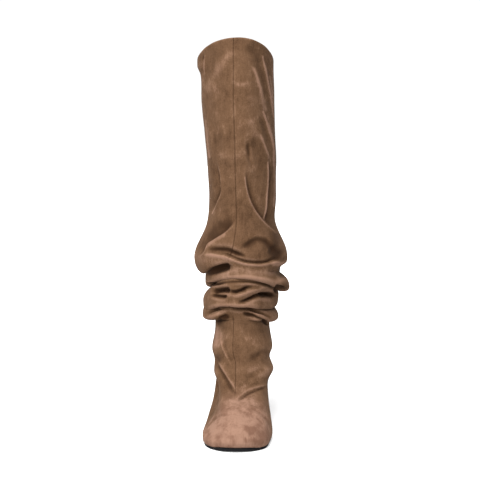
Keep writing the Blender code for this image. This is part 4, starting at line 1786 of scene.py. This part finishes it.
@dataclass
class Studio:
    """White paper floor, soft lamps and white surroundings."""

    floor_size: float = 12.0
    world_strength: float = 1.06
    card_away: float = 0.50
    card_low: float = 0.14
    card_high: float = 0.80
    card_front: float = -0.35
    card_back: float = 0.45
    card_dark: Colour = (0.02, 0.02, 0.02)
    card_light: Colour = (0.03, 0.03, 0.03)
    world_colour: Colour = (1.0, 1.0, 1.0)

    def build(self) -> None:
        """Set up the floor, the lamps, the surroundings and the way colours are shown."""
        self.floor()
        self.lamp("key", (-0.6, -2.1, 1.9), (0.0, 0.0, 0.25), 1.8, 190.0)
        self.lamp("top", (-0.2, -0.7, 2.2), (0.0, 0.0, 0.0), 1.2, 70.0)
        self.card("left_card", -1)
        self.card("right_card", 1)
        scene = bpy.context.scene
        world = bpy.data.worlds.new("surroundings")
        world.use_nodes = True
        back = world.node_tree.nodes["Background"]
        back.inputs["Color"].default_value = (*self.world_colour, 1.0)
        back.inputs["Strength"].default_value = self.world_strength
        scene.world = world
        scene.view_settings.view_transform = "Standard"

    def sheet(self, name: str, corners: Sequence[Point3],
              material: bpy.types.Material) -> bpy.types.Object:
        """Add a flat sheet to the scene.

        Args:
            name: Name of the sheet.
            corners: Its four corners in order.
            material: Its material.

        Returns:
            The new object.
        """
        mesh = bpy.data.meshes.new(name)
        mesh.from_pydata(corners, [], [(0, 1, 2, 3)])
        mesh.materials.append(material)
        made = add_object(name, mesh)
        return made

    def floor(self) -> None:
        """Add the floor."""
        half = self.floor_size / 2
        corners = ((-half, -half, 0), (half, -half, 0), (half, half, 0), (-half, half, 0))
        self.sheet("floor", corners, FloorFinish().make())

    def card(self, name: str, side: int) -> None:
        """Add a black card beside the boot that keeps side light off it, unseen by the camera.

        Args:
            name: Name of the card.
            side: -1 or 1, by the side it stands on.
        """
        x = side * self.card_away
        low, high = self.card_low, self.card_high
        near, far = self.card_front, self.card_back
        corners = ((x, near, low), (x, far, low), (x, far, high), (x, near, high))
        graph = Graph(name)
        grain = graph.noise(graph.place(), 300.0, 2.0)
        shade = graph.mix(grain, self.card_dark, self.card_light)
        card = self.sheet(name, corners, graph.surface(Base_Color=shade, Roughness=0.95))
        card.visible_camera = False

    def lamp(self, name: str, place: Point3, aim: Point3, size: float, power: float) -> None:
        """Add a square soft lamp.

        Args:
            name: Name of the lamp.
            place: Where it hangs.
            aim: Where it points.
            size: Length of its sides.
            power: Its power in watts.
        """
        data = bpy.data.lights.new(name, "AREA")
        data.size = size
        data.energy = power
        lamp = add_object(name, data)
        lamp.location = place
        lamp.rotation_euler = turn_towards(place, aim)


def main() -> None:
    """Build the boot's pieces, the studio and the camera, and note the sizes."""
    logging.basicConfig(level=logging.INFO, format="%(name)s %(message)s")
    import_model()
    form = BootForm()
    eye = Eye()
    SuedeUpper(form, eye).build()
    ThinSole(form).build()
    SockInsole(form).build()
    CoveredHeel(form).build()
    Studio().build()
    eye.make_camera()


if __name__ == "__main__":
    main()
